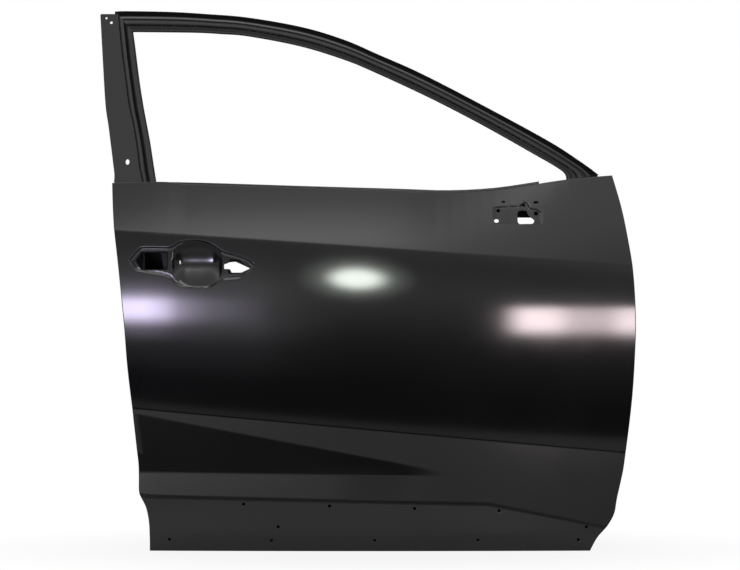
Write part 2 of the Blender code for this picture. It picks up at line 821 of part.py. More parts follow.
# Hinge, check strap, latch and harness places on the side walls
HINGE_Y = 0.075
UPPER_HINGE_Z = 0.7089 * BELT_HEIGHT
LOWER_HINGE_Z = 0.3038 * BELT_HEIGHT
HINGE_BOLT_SPAN = 0.050
HINGE_BOLT_RADIUS = 0.0055
BOLT_SIDES = 12
CHECK_Z = 0.5063 * BELT_HEIGHT
CHECK_SLOT_HALF = 0.011
CHECK_SLOT_HALF_HEIGHT = 0.019
CHECK_BOLT_SPAN = 0.056
CHECK_BOLT_RADIUS = 0.0035
HARNESS_Z = 0.8608 * BELT_HEIGHT
HARNESS_RADIUS = 0.018
LATCH_Y = 0.078
LATCH_Z = 0.6709 * BELT_HEIGHT
LATCH_SLOT_HALF = 0.015
LATCH_SLOT_HALF_HEIGHT = 0.022
LATCH_SCREW_RADIUS = 0.0035
latch_screw_shares = ((0.00, 1.91), (-1.09, -1.64), (1.00, -1.73))

PANEL_RIM = inset(RIM, FLANGE_INSET)


def wall_path(path):
    """The side walls' line: inside the seal shelf, and flat where hinges and latch sit."""
    moved = []
    for point in path:
        relax = min(1.0, max(0.0, (point.y - LATCH_WALL_TOP) / LATCH_WALL_BLEND))
        rear = PANEL_SHEET - LATCH_FACE_X - LATCH_WALL_RELAX * relax
        moved.append(Vector((min(max(point.x, rear), HINGE_FACE_X - PANEL_SHEET), point.y)))
    return moved


FLANGE_END = inset(RIM, HEM_FLANGE_WIDTH)
SHELF = inset(RIM, HEM_FLANGE_WIDTH + SEAL_STEP_RUN)
WALL = wall_path(inset(RIM, HEM_FLANGE_WIDTH + SEAL_STEP_RUN + SEAL_SHELF_WIDTH))


def left_of(path, amount):
    """The same points, each moved to the left of the path by amount."""
    moved = []
    for i, point in enumerate(path):
        run = (path[min(i + 1, len(path) - 1)] - path[max(i - 1, 0)]).normalized()
        moved.append(point + Vector((-run.y, run.x)) * amount)
    return moved


FLOOR_EDGE = left_of(WALL, WALL_DRAFT)


def crossings(line, path):
    """Where a feature line meets a path round the door."""
    found = []
    for a, b in zip(line, line[1:]):
        for c, d in zip(path, path[1:]):
            spot = intersect_line_line_2d(a, b, c, d)
            if spot:
                found.append(spot)
    return found


def trim_holes():
    """Clip holes of the door trim: along the foot, beside the openings and between them."""
    spots = [(x, TRIM_FOOT_SHARE) for x in trim_foot_shares]
    spots += [(x, z) for x in trim_column_shares for z in trim_row_shares]
    return place(spots)


def flange_depth(point):
    """Depth of the inner panel's outer face where it lies in the skin's hem."""
    return skin_depth(point.x, point.y) + SKIN_SHEET + HEM_GAP


def panel_depth(point):
    if distance(point, RIM, closed=False) < HEM_FLANGE_WIDTH + CLEARANCE:
        return flange_depth(point)
    return FLOOR_DEPTH


def inner_panel():
    """The deep-drawn inner panel: hem flange, seal step, side walls and a floor with openings."""
    top = []
    low_x = FLOOR_EDGE[0].x
    high_x = FLOOR_EDGE[-1].x
    count = round((high_x - low_x) / ROW_SPACING)
    for i in range(1, count):
        x = high_x + (low_x - high_x) * i / count
        top.append(Vector((x, belt_height(x))))
    front_top = [line[-1] for line in (FLANGE_END, SHELF, WALL, FLOOR_EDGE)]
    rear_top = [line[0] for line in (FLOOR_EDGE, WALL, SHELF, FLANGE_END)]
    sheet = Sheet(PANEL_RIM + front_top + top + rear_top, panel_depth)
    for line in FEATURE_LINES:
        for spot in crossings(line, FLANGE_END):
            outside = line[0] if spot.x < 0 else line[-1]
            sheet.loop([outside, spot], closed=False)
    sheet.loop(FLANGE_END, flange_depth, STEP_SIDE, closed=False)
    sheet.loop(SHELF, lambda p: flange_depth(p) + SEAL_STEP, STEP_SIDE, closed=False)
    sheet.loop(WALL, lambda p: flange_depth(p) + SEAL_STEP + SEAL_SHELF_RISE, PANEL_SHEET, closed=False)
    sheet.loop(FLOOR_EDGE, FLOOR_DEPTH, PANEL_SHEET, closed=False, real=WALL)
    for left, right in ((REAR_OPENING_FROM, REAR_OPENING_TO), (FRONT_OPENING_FROM, FRONT_OPENING_TO)):
        opening = rounded_box(left, right, OPENING_LOW, OPENING_HIGH, OPENING_RADIUS)
        sheet.hole(opening, FLOOR_DEPTH - OPENING_EDGE_SINK)
        sheet.loop(grown(opening, OPENING_EDGE_WIDTH))
    speaker = circle(SPEAKER_X, SPEAKER_Z, SPEAKER_RADIUS, SPEAKER_SIDES)
    sheet.hole(speaker, FLOOR_DEPTH - OPENING_EDGE_SINK)
    sheet.loop(grown(speaker, OPENING_EDGE_WIDTH))
    for share in bead_height_shares:
        low = share * BELT_HEIGHT - BEAD_HALF_HEIGHT
        high = share * BELT_HEIGHT + BEAD_HALF_HEIGHT
        bead = rounded_box(BEAD_FROM, BEAD_TO, low, high, BEAD_HALF_HEIGHT - CLEARANCE)
        sheet.loop(grown(bead, BEAD_DRAFT))
        sheet.loop(bead, FLOOR_DEPTH - BEAD_SINK)
    for spot in trim_holes():
        sheet.hole(circle(spot.x, spot.y, TRIM_HOLE_RADIUS, TRIM_HOLE_SIDES))
    sheet.field(PANEL_FIELD, PANEL_FIELD / 5)
    paint = primer("black_primer_inner", (0.014, 0.014, 0.015), 0.42)
    return build_sheet("inner_panel", sheet, PANEL_SHEET, paint)


# Section of the roll-formed window frame: across its width from the outer edge, and its depth
FLANGE_SHARE = 0.250
CHANNEL_WEB_SHARE = 0.70
CHANNEL_LIP_SHARE = 0.985
CHANNEL_FRONT_SHARE = 0.255
frame_section_shares = (
    (CHANNEL_WEB_SHARE, 0.94), (CHANNEL_WEB_SHARE, CHANNEL_FRONT_SHARE),
    (CHANNEL_LIP_SHARE, CHANNEL_FRONT_SHARE), (CHANNEL_LIP_SHARE, 0.200), (0.688, 0.200), (0.688, 0.020),
    (0.52, 0.020), (0.50, 0.150), (0.40, 0.100), (0.30, 0.150), (0.28, FLANGE_SHARE),
    (0.012, FLANGE_SHARE), (0.012, 0.420), (0.14, 1.000), (CHANNEL_LIP_SHARE, 1.000),
)
channel_section_shares = (
    (CHANNEL_LIP_SHARE, 1.000), (CHANNEL_WEB_SHARE, 1.000),
    (CHANNEL_WEB_SHARE, CHANNEL_FRONT_SHARE), (CHANNEL_LIP_SHARE, CHANNEL_FRONT_SHARE),
)
FRAME_WIDTH = 0.039
LEAN_HOLD = 0.030
LEAN_FADE = 0.060

# Edges of the window frame's pieces, in shares of HALF_LENGTH and of FRAME_RISE above the belt
frame_corner_shares = ((-1.003, 1.066), (-0.929, 0.940))
header_outer_shares = (
    (-0.954, 1.069), (-0.782, 1.064), (-0.644, 1.051), (-0.478, 1.025), (-0.265, 0.963),
    (-0.100, 0.884), (0.037, 0.793), (0.194, 0.685), (0.401, 0.516), (0.676, 0.279),
    (0.803, 0.150), (0.877, 0.063),
)
header_inner_shares = (
    (-0.890, 0.940), (-0.680, 0.936), (-0.587, 0.928), (-0.477, 0.910), (-0.274, 0.849),
    (-0.100, 0.767), (0.021, 0.688), (0.235, 0.530), (0.429, 0.371), (0.615, 0.205),
    (0.737, 0.090), (0.752, 0.036),
)
sash_outer_shares = (
    (-0.984, 0.845), (-0.962, 0.645), (-0.945, 0.490), (-0.925, 0.371), (-0.906, 0.227),
    (-0.895, 0.117), (-0.880, 0.019), (-0.862, -0.150),
)
sash_inner_shares = (
    (-0.921, 0.871), (-0.897, 0.645), (-0.879, 0.499), (-0.865, 0.400), (-0.845, 0.260),
    (-0.829, 0.130), (-0.815, 0.019), (-0.793, -0.150),
)
rear_channel_shares = ((-0.793, -0.153), (-0.718, -0.900))
front_channel_top_shares = ((0.752, 0.030),)
FRONT_CHANNEL_FOOT_SHARE = 0.831
pillar_outer_shares = (
    (-1.059, 1.050), (-1.042, 0.784), (-1.022, 0.490), (-1.006, 0.354), (-0.983, 0.142),
    (-0.975, 0.063), (-0.976, 0.014),
)
PILLAR_LAP = 0.008
pillar_hole_shares = (
    (-1.0333, 1.0228, 0.072, 0.072), (-1.0132, 0.9946, 0.087, 0.087),
    (-0.9263, 0.1408, 0.115, 0.164),
)
PILLAR_FLANGE = 0.005
HEADER_STATIONS = 30
SASH_STATIONS = 18
CHANNEL_STATIONS = 8


def frame_plane(z):
    """Depth of the window frame's front face: it leans inward above the belt and curves upright below."""
    below = BELT_HEIGHT - z
    if below <= LEAN_HOLD:
        return FRAME_SETBACK - FRAME_LEAN_SHARE * below
    fade = min(below - LEAN_HOLD, LEAN_FADE)
    return FRAME_SETBACK - FRAME_LEAN_SHARE * (LEAN_HOLD + fade - fade * fade / (2 * LEAN_FADE))


def frame_place(shares):
    return place(shares, up=FRAME_RISE, base=BELT_HEIGHT)


def resample(points, count):
    """A fixed number of even points along the smooth curve through the given ones."""
    dense = smooth_curve(points, CLEARANCE * 10)
    reach = [0.0]
    for a, b in zip(dense, dense[1:]):
        reach.append(reach[-1] + (b - a).length)
    even = []
    at = 0
    for i in range(count + 1):
        want = reach[-1] * i / count
        while at < len(dense) - 2 and reach[at + 1] < want:
            at += 1
        share = (want - reach[at]) / (reach[at + 1] - reach[at])
        even.append(dense[at].lerp(dense[at + 1], min(1.0, share)))
    return even


def frame_stations(outer, inner, section):
    """The section laid between an outer and an inner edge, ring by ring."""
    rings = []
    for a, b in zip(outer, inner):
        ring = []
        for across, deep in section:
            flat = a.lerp(b, across)
            ring.append(Vector((flat.x, frame_plane(flat.y) + deep, flat.y)))
        rings.append(ring)
    return rings


def frame_section(shares):
    """Outline of the section's sheet, across as a share of the width and deep in metres."""
    line = [Vector((s * FRAME_WIDTH, d * FRAME_DEPTH)) for s, d in shares]
    return [(p.x / FRAME_WIDTH, p.y) for p in strip_outline(line, FRAME_SHEET)]


def upper_window_frame():
    """Roll-formed header, from the mitre at the rear corner down to the mirror corner."""
    outer = frame_place(frame_corner_shares[:1] + header_outer_shares)
    inner = frame_place(frame_corner_shares[1:] + header_inner_shares)
    rings = frame_stations(resample(outer, HEADER_STATIONS), resample(inner, HEADER_STATIONS),
                           frame_section(frame_section_shares))
    return sweep("upper_window_frame", rings, primer("primer_header", (0.016, 0.016, 0.017), 0.38))


def rear_window_sash():
    """Roll-formed upright of the same section, mitred to the header and reaching below the belt."""
    drop = Vector((0.0, -2 * CLEARANCE))
    corner = frame_place(frame_corner_shares)
    outer = [corner[0] + drop] + frame_place(sash_outer_shares)
    inner = [corner[1] + drop] + frame_place(sash_inner_shares)
    rings = frame_stations(resample(outer, SASH_STATIONS), resample(inner, SASH_STATIONS),
                           frame_section(frame_section_shares))
    return sweep("rear_window_sash", rings, primer("primer_sash", (0.016, 0.016, 0.017), 0.40))


def front_channel_line():
    """Line of the front run channel, from the mirror corner to its foot above the check strap plate."""
    foot = CHECK_Z + CHECK_PLATE_HALF + CHANNEL_FOOT_GAP + 2 * CHANNEL_FOOT_RISE
    low = Vector((FRONT_CHANNEL_FOOT_SHARE * HALF_LENGTH, foot))
    return frame_place(front_channel_top_shares) + [low]


def run_channel(name, line, side):
    """Glass run channel below the belt, its mouth on the given edge and its web to that side."""
    inner = resample(line, CHANNEL_STATIONS)
    outer = [p + Vector((side * FRAME_WIDTH, 0.0)) for p in inner]
    rings = frame_stations(outer, inner, frame_section(channel_section_shares))
    return sweep(name, rings, primer("primer_" + name, (0.018, 0.018, 0.019), 0.45))


def pillar_sash_panel():
    """Pressed cover plate beside the sash, with a turned rear edge, lapping the sash's flange."""
    sash = frame_place(frame_corner_shares[:1] + sash_outer_shares)[::-1]
    edge = [Vector((p.y, p.x)) for p in smooth_curve(sash, RIM_SPACING)]
    outer = resample(frame_place(pillar_outer_shares), SASH_STATIONS)
    inner = [Vector((line_height(edge, p.y) + PILLAR_LAP, p.y)) for p in outer]
    rings = []
    depth = FLANGE_SHARE * FRAME_DEPTH - FRAME_SHEET - CLEARANCE
    for a, b in zip(outer, inner):
        width = (b - a).length
        line = [Vector((0.0, depth + PILLAR_FLANGE)), Vector((0.0, depth)), Vector((width, depth))]
        section = [(p.x / width, p.y) for p in strip_outline(line, FRAME_SHEET)]
        rings += frame_stations([a], [b], section)
    return sweep("pillar_sash_panel", rings, primer("primer_pillar", (0.015, 0.015, 0.016), 0.34))


# Brackets, belt reinforcements and side beam
REAR_GUSSET_FROM = -0.9158 * HALF_LENGTH
REAR_GUSSET_TO = -0.8421 * HALF_LENGTH
FRONT_GUSSET_FROM = 0.786 * HALF_LENGTH
FRONT_GUSSET_TO = 0.8596 * HALF_LENGTH
GUSSET_LAP = 0.022
GUSSET_DROP = 0.035
GUSSET_FOOT = 0.030
CHANNEL_FOOT_RISE = 0.025
CHANNEL_FOOT_GAP = 0.007
BELT_LIP_RISE = 0.007
BELT_OUTER_DROP = 0.032
BELT_OUTER_FOOT_GAP = 0.008
BELT_INNER_FROM = -0.807 * HALF_LENGTH
BELT_INNER_TO = 0.7544 * HALF_LENGTH
BELT_INNER_DROP = 0.004
BELT_INNER_FLANGE = 0.007
BELT_INNER_HEIGHT = 0.019
BELT_INNER_DEPTH = 0.018
BELT_INNER_DRAFT = 0.002
BEAM_RADIUS = 0.014
BEAM_WALL = 0.002
BEAM_Y = 0.0465
BEAM_SIDES = 16
BEAM_REAR_X = -0.7719 * HALF_LENGTH
BEAM_REAR_Z = 0.3671 * BELT_HEIGHT
BEAM_FRONT_X = 0.8211 * HALF_LENGTH
BEAM_FRONT_Z = 0.4101 * BELT_HEIGHT
SADDLE_LAP = 0.050
SADDLE_LIP = 0.010
SADDLE_STEPS = 8
SADDLE_STATIONS = 3
MASTIC_HALF = 0.024
MASTIC_HALF_HEIGHT = 0.011
mastic_shares = (-0.491, -0.140, 0.2105, 0.561)


def bent_strip(name, line_at, places, thickness, material):
    """A strip of sheet bent in the plane across X, following line_at(x) from place to place."""
    rings = []
    for x in places:
        rings.append([Vector((x, p.x, p.y)) for p in strip_outline(line_at(x), thickness)])
    return sweep(name, rings, material)


def floor_seat(thickness):
    """Depth of a strip's middle where it lies on the cavity side of the inner panel's floor."""
    return FLOOR_DEPTH - CLEARANCE - thickness / 2


def gusset(name, low_x, high_x, top, bend):
    """Corner gusset from the back of the window frame to the floor of the inner panel."""
    half = PLATE_SHEET / 2 * math.hypot(1.0, FRAME_LEAN_SHARE)
    back = FRAME_DEPTH + FRAME_SHEET / 2 + CLEARANCE + half
    foot = bend - GUSSET_DROP
    line = [
        Vector((frame_plane(top) + back, top)),
        Vector((frame_plane(bend) + back, bend)),
        Vector((floor_seat(PLATE_SHEET), foot)),
        Vector((floor_seat(PLATE_SHEET), foot - GUSSET_FOOT)),
    ]
    material = primer("primer_" + name, (0.017, 0.017, 0.018), 0.42)
    return bent_strip(name, lambda x: line, (low_x, high_x), PLATE_SHEET, material)


def channel_foot(name, channel, side):
    """Foot bracket that carries the lower end of a run channel on the floor of the inner panel."""
    low = channel[-1]
    back = frame_plane(low.y) + FRAME_DEPTH + FRAME_SHEET / 2 + CLEARANCE + PLATE_SHEET / 2
    line = [
        Vector((back, low.y + CHANNEL_FOOT_RISE)),
        Vector((back, low.y)),
        Vector((floor_seat(PLATE_SHEET), low.y - CHANNEL_FOOT_RISE)),
        Vector((floor_seat(PLATE_SHEET), low.y - 2 * CHANNEL_FOOT_RISE)),
    ]
    web = low.x + side * FRAME_WIDTH * (1 - CHANNEL_WEB_SHARE)
    ends = sorted((low.x, web))
    material = primer("primer_" + name, (0.017, 0.017, 0.018), 0.44)
    return bent_strip(name, lambda x: line, ends, PLATE_SHEET, material)


def belt_reinforcement_outer():
    """Strip behind the belt edge: its lip stands above the skin and its foot turns to the skin."""
    half = FRAME_SHEET / 2

    def line_at(x):
        top = belt_height(x)
        deep = skin_depth(x, top) + BELT_FLANGE + CLEARANCE + half
        foot = top - BELT_OUTER_DROP
        near = skin_depth(x, foot) + SKIN_SHEET + BELT_OUTER_FOOT_GAP
        return [Vector((deep, top + BELT_LIP_RISE)), Vector((deep, foot)), Vector((near, foot))]

    low = BELT_LIP_FROM_SHARE * HALF_LENGTH
    high = BELT_LIP_TO_SHARE * HALF_LENGTH
    places = [p.x for p in BELT_EDGE[::-1] if low < p.x < high]
    material = primer("primer_belt_outer", (0.030, 0.030, 0.032), 0.36)
    return bent_strip("belt_reinforcement_outer", line_at, places, FRAME_SHEET, material)


def belt_reinforcement_inner():
    """Hat section along the belt on the cavity side of the inner panel."""
    seat = floor_seat(FRAME_SHEET)

    def line_at(x):
        top = belt_height(x) - BELT_INNER_DROP
        rise = top - BELT_INNER_FLANGE
        foot = rise - BELT_INNER_HEIGHT
        return [
            Vector((seat, top)),
            Vector((seat, rise)),
            Vector((seat - BELT_INNER_DEPTH, rise - BELT_INNER_DRAFT)),
            Vector((seat - BELT_INNER_DEPTH, foot + BELT_INNER_DRAFT)),
            Vector((seat, foot)),
            Vector((seat, foot - BELT_INNER_FLANGE)),
        ]

    places = [p.x for p in BELT_EDGE[::-1] if BELT_INNER_FROM < p.x < BELT_INNER_TO]
    material = primer("primer_belt_inner", (0.018, 0.018, 0.019), 0.44)
    return bent_strip("belt_reinforcement_inner", line_at, places, FRAME_SHEET, material)


def beam_height(x):
    """Height of the side beam's axis at x."""
    share = (x - BEAM_REAR_X) / (BEAM_FRONT_X - BEAM_REAR_X)
    return BEAM_REAR_Z + (BEAM_FRONT_Z - BEAM_REAR_Z) * share


def side_impact_beam():
    """Slanting tube between the brackets on the latch and hinge walls, open at both ends."""
    rings = []
    path = (
        (BEAM_REAR_X, BEAM_RADIUS), (BEAM_FRONT_X, BEAM_RADIUS),
        (BEAM_FRONT_X, BEAM_RADIUS - BEAM_WALL), (BEAM_REAR_X, BEAM_RADIUS - BEAM_WALL),
    )
    mesh = bmesh.new()
    for x, radius in path:
        ring = circle(BEAM_Y, beam_height(x), radius, BEAM_SIDES)
        rings.append([mesh.verts.new((x, p.x, p.y)) for p in ring])
    for ring, following in zip(rings, rings[1:] + rings[:1]):
        for i in range(BEAM_SIDES):
            j = (i + 1) % BEAM_SIDES
            mesh.faces.new((ring[i], ring[j], following[j], following[i]))
    bmesh.ops.triangulate(mesh, faces=mesh.faces)
    return finish_mesh("side_impact_beam", mesh, primer("primer_beam", (0.020, 0.020, 0.021), 0.40))


def wall_x(z, side):
    """Cavity face of the side wall at height z, on the rear or front side."""
    best = None
    for a, b in zip(WALL, WALL[1:]):
        if a.x * side > 0 and min(a.y, b.y) <= z <= max(a.y, b.y) and a.y != b.y:
            best = a.x + (b.x - a.x) * (z - a.y) / (b.y - a.y)
    return best


def beam_bracket(name, end, side):
    """Trough under the beam's end, reaching to the side wall."""
    reach = BEAM_RADIUS + CLEARANCE + PLATE_SHEET / 2
    line = [Vector((-reach, SADDLE_LIP))]
    for i in range(SADDLE_STEPS + 1):
        angle = math.pi * (1 + i / SADDLE_STEPS)
        line.append(Vector((reach * math.cos(angle), reach * math.sin(angle))))
    line.append(Vector((reach, SADDLE_LIP)))
    section = strip_outline(line, PLATE_SHEET)
    rings = []
    for i in range(SADDLE_STATIONS):
        share = i / (SADDLE_STATIONS - 1)
        ring = []
        for point in section:
            start = end - side * SADDLE_LAP
            middle = beam_height(end) + point.y
            wall = wall_x(middle, side) - side * CLEARANCE
            x = start + (wall - start) * share
            ring.append(Vector((x, BEAM_Y + point.x, beam_height(x) + point.y)))
        rings.append(ring)
    if side < 0:
        rings.reverse()
    return sweep(name, rings, primer("primer_" + name, (0.018, 0.018, 0.019), 0.42))


def mastic_pad(number, x):
    """Block of anti-flutter mastic between the beam and the skin."""
    z = beam_height(x)
    outline = rounded_box(x - MASTIC_HALF, x + MASTIC_HALF, z - MASTIC_HALF_HEIGHT,
                          z + MASTIC_HALF_HEIGHT, MASTIC_HALF_HEIGHT / 2)
    back = BEAM_Y - BEAM_RADIUS - CLEARANCE
    low = max(skin_depth(p.x, p.y) for p in outline) + SKIN_SHEET + CLEARANCE
    mesh = prism("mastic", outline, "Y", low, back)
    bmesh.ops.triangulate(mesh, faces=mesh.faces)
    pad = primer("mastic_pad_" + number, (0.03, 0.03, 0.03), 0.85, 0.0)
    return finish_mesh("mastic_pad_" + number, mesh, pad)


# Reinforcements on the side walls: depth range and half height
HINGE_PLATE_FROM = 0.044
HINGE_PLATE_RETURN = 0.042
HINGE_PLATE_HALF = 0.050
CHECK_PLATE_HALF = 0.042
LATCH_PLATE_HALF = 0.070
NUT_HALF = 0.0065
NUT_HEIGHT = 0.008
NUT_BORE = 0.0040
NUT_SIDES = 6


def corner_plate(name, wall, side, thickness, low, high):
    """Angle plate that lies on a side wall's cavity face and turns onto the floor."""
    face = wall - side * (CLEARANCE + thickness / 2)
    line = [
        Vector((face, HINGE_PLATE_FROM)),
        Vector((face, floor_seat(thickness))),
        Vector((face - side * HINGE_PLATE_RETURN, floor_seat(thickness))),
    ]
    section = strip_outline(line, thickness)
    rings = [[Vector((p.x, p.y, z)) for p in section] for z in (low, high)]
    return sweep(name, rings, primer("primer_" + name, (0.019, 0.019, 0.020), 0.40))


def weld_nut(name, y, z):
    """Hexagonal weld nut behind a hinge bolt hole."""
    start = HINGE_FACE_X - PANEL_SHEET - HINGE_SHEET - 3 * CLEARANCE
    rings = []
    mesh = bmesh.new()
    path = ((start, NUT_HALF), (start - NUT_HEIGHT, NUT_HALF),
            (start - NUT_HEIGHT, NUT_BORE), (start, NUT_BORE))
    for x, radius in path:
        rings.append([mesh.verts.new((x, p.x, p.y)) for p in circle(y, z, radius, NUT_SIDES)])
    for ring, following in zip(rings, rings[1:] + rings[:1]):
        for i in range(NUT_SIDES):
            j = (i + 1) % NUT_SIDES
            mesh.faces.new((ring[i], ring[j], following[j], following[i]))
    return finish_mesh(name, mesh, primer("primer_" + name, (0.022, 0.022, 0.023), 0.45, 0.5))


# Reinforcements behind the handle and the mirror
HANDLE_PLATE_MARGIN = 0.016
HANDLE_PLATE_GAP = 0.006
HANDLE_EDGE_GAP = 0.002
MIRROR_PLATE_MARGIN = 0.010
tip_plate_aperture_shares = ((-2.34, 0.12), (-2.13, 0.42), (-2.08, 0.42), (-2.08, -0.22), (-2.13, -0.22))
rear_plate_aperture_shares = ((-2.03, 0.42), (-1.29, 0.42), (-1.29, -0.22), (-2.03, -0.22))
front_plate_aperture_shares = (
    (1.24, 0.28), (1.62, 0.24), (2.03, -0.10), (2.03, -0.26), (1.79, -0.38), (1.62, -0.46), (1.24, -0.46),
)


def handle_reinforcement():
    """Plate behind the recess, open round the bowl and behind the two apertures."""
    left = min(p.x for p in RECESS) + HANDLE_EDGE_GAP
    right = max(p.x for p in RECESS) + HANDLE_PLATE_MARGIN
    low = min(p.y for p in RECESS) - HANDLE_PLATE_MARGIN
    high = max(p.y for p in RECESS) + HANDLE_PLATE_MARGIN / 2
    outline = rounded_box(left, right, low, high, HANDLE_PLATE_MARGIN)
    behind = SKIN_SHEET + LOBE_DEPTH + CLEARANCE
    sheet = Sheet(outline, lambda p: skin_depth(p.x, p.y) + behind)
    sheet.loop(row_points(SHOULDER), closed=False)
    sheet.hole(grown(BOWL, HANDLE_PLATE_GAP))
    for shares in (tip_plate_aperture_shares, rear_plate_aperture_shares, front_plate_aperture_shares):
        sheet.hole(from_handle(shares))
    sheet.field(HANDLE_PLATE_MARGIN * 2, HANDLE_PLATE_MARGIN / 2)
    paint = primer("primer_handle_plate", (0.018, 0.018, 0.019), 0.44)
    return build_sheet("handle_reinforcement", sheet, PLATE_SHEET, paint)


def mirror_reinforcement():
    """Plate behind the mirror seat with the seat's own holes."""
    outline = grown(MIRROR_PAD, MIRROR_PLATE_MARGIN)
    behind = SKIN_SHEET + CLEARANCE + MIRROR_PAD_SINK
    sheet = Sheet(outline, lambda p: skin_depth(p.x, p.y) + behind)
    sheet.field(MIRROR_PLATE_MARGIN * 2, MIRROR_PLATE_MARGIN / 2)
    sheet.hole(grown(MIRROR_HOLE, CLEARANCE))
    for loop in mirror_screw_holes():
        sheet.hole(loop)
    paint = primer("primer_mirror_plate", (0.018, 0.018, 0.019), 0.44)
    return build_sheet("mirror_reinforcement", sheet, PLATE_SHEET, paint)


def main():
    for old in list(bpy.data.objects):
        bpy.data.objects.remove(old)
    door = bpy.data.objects.new("door", None)
    bpy.context.scene.collection.objects.link(door)
    door.location = (-HINGE_FACE_X, -HINGE_Y, -UPPER_HINGE_Z)
    outer_skin()
    panel = inner_panel()
    upper_window_frame()
    rear_window_sash()
    pillar = pillar_sash_panel()
    rear_channel = frame_place(rear_channel_shares)
    front_channel = front_channel_line()
    run_channel("rear_run_channel", rear_channel, -1)
    run_channel("front_run_channel", front_channel, 1)
    channel_foot("rear_channel_foot", rear_channel, -1)
    channel_foot("front_channel_foot", front_channel, 1)
    gusset("rear_corner_gusset", REAR_GUSSET_FROM, REAR_GUSSET_TO,
           BELT_HEIGHT + GUSSET_LAP, BELT_HEIGHT)
    gusset("front_corner_gusset", FRONT_GUSSET_FROM, FRONT_GUSSET_TO,
           BELT_HEIGHT + 2 * GUSSET_LAP, BELT_HEIGHT + GUSSET_LAP / 2)
    belt_reinforcement_outer()
    belt_reinforcement_inner()
    side_impact_beam()
    beam_bracket("beam_bracket_rear", BEAM_REAR_X, -1)
    beam_bracket("beam_bracket_front", BEAM_FRONT_X, 1)
    for number, share in enumerate(mastic_shares, 1):
        mastic_pad(str(number), share * HALF_LENGTH)
    wall = HINGE_FACE_X - PANEL_SHEET
    upper = corner_plate("hinge_reinforcement_upper", wall, 1, HINGE_SHEET,
                         UPPER_HINGE_Z - HINGE_PLATE_HALF, UPPER_HINGE_Z + HINGE_PLATE_HALF)
    lower = corner_plate("hinge_reinforcement_lower", wall, 1, HINGE_SHEET,
                         LOWER_HINGE_Z - HINGE_PLATE_HALF, LOWER_HINGE_Z + HINGE_PLATE_HALF)
    check = corner_plate("check_strap_reinforcement", wall, 1, PLATE_SHEET,
                         CHECK_Z - CHECK_PLATE_HALF, CHECK_Z + CHECK_PLATE_HALF)
    latch = corner_plate("latch_reinforcement", PANEL_SHEET - LATCH_FACE_X, -1, PLATE_SHEET,
                         LATCH_Z - LATCH_PLATE_HALF, LATCH_Z + LATCH_PLATE_HALF)
    bolts = []
    for place_name, hinge_z in (("upper", UPPER_HINGE_Z), ("lower", LOWER_HINGE_Z)):
        for number, turn in (("1", -1), ("2", 1)):
            z = hinge_z + turn * HINGE_BOLT_SPAN / 2
            bolts.append(circle(HINGE_Y, z, HINGE_BOLT_RADIUS, BOLT_SIDES))
            weld_nut("weld_nut_" + place_name + "_" + number, HINGE_Y, z)
    for turn in (-1, 1):
        z = CHECK_Z + turn * CHECK_BOLT_SPAN / 2
        bolts.append(circle(HINGE_Y, z, CHECK_BOLT_RADIUS, BOLT_SIDES))
    slot = rounded_box(HINGE_Y - CHECK_SLOT_HALF, HINGE_Y + CHECK_SLOT_HALF,
                       CHECK_Z - CHECK_SLOT_HALF_HEIGHT, CHECK_Z + CHECK_SLOT_HALF_HEIGHT,
                       CHECK_SLOT_HALF / 3)
    harness = circle(HINGE_Y, HARNESS_Z, HARNESS_RADIUS, BOLT_SIDES)
    cut((panel, upper, lower, check), "hinge_wall_cutter", bolts + [slot, harness], "X",
        HINGE_FACE_X - OVERRUN, HINGE_FACE_X + OVERRUN)
    screws = []
    for y, z in latch_screw_shares:
        screws.append(circle(LATCH_Y + y * LATCH_SLOT_HALF_HEIGHT,
                             LATCH_Z + z * LATCH_SLOT_HALF_HEIGHT, LATCH_SCREW_RADIUS, BOLT_SIDES))
    catch = rounded_box(LATCH_Y - LATCH_SLOT_HALF, LATCH_Y + LATCH_SLOT_HALF,
                        LATCH_Z - LATCH_SLOT_HALF_HEIGHT, LATCH_Z + LATCH_SLOT_HALF_HEIGHT,
                        LATCH_SLOT_HALF / 3)
    cut((panel, latch), "latch_wall_cutter", screws + [catch], "X",
        -LATCH_FACE_X - OVERRUN, -LATCH_FACE_X + OVERRUN)
    pillar_holes = []
    for x, z, wide, high in pillar_hole_shares:
        spot = frame_place(((x, z),))[0]
        pillar_holes.append(circle(spot.x, spot.y, wide * FRAME_WIDTH, BOLT_SIDES, high * FRAME_WIDTH))
    cut((pillar,), "pillar_cutter", pillar_holes, "Y", 0.0, FLOOR_DEPTH * 2)
    handle_reinforcement()
    mirror_reinforcement()


main()
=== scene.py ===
"""Visual scene of the car door shell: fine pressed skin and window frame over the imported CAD."""
import math

import bpy
import numpy as np
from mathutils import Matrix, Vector
from mathutils.geometry import delaunay_2d_cdt


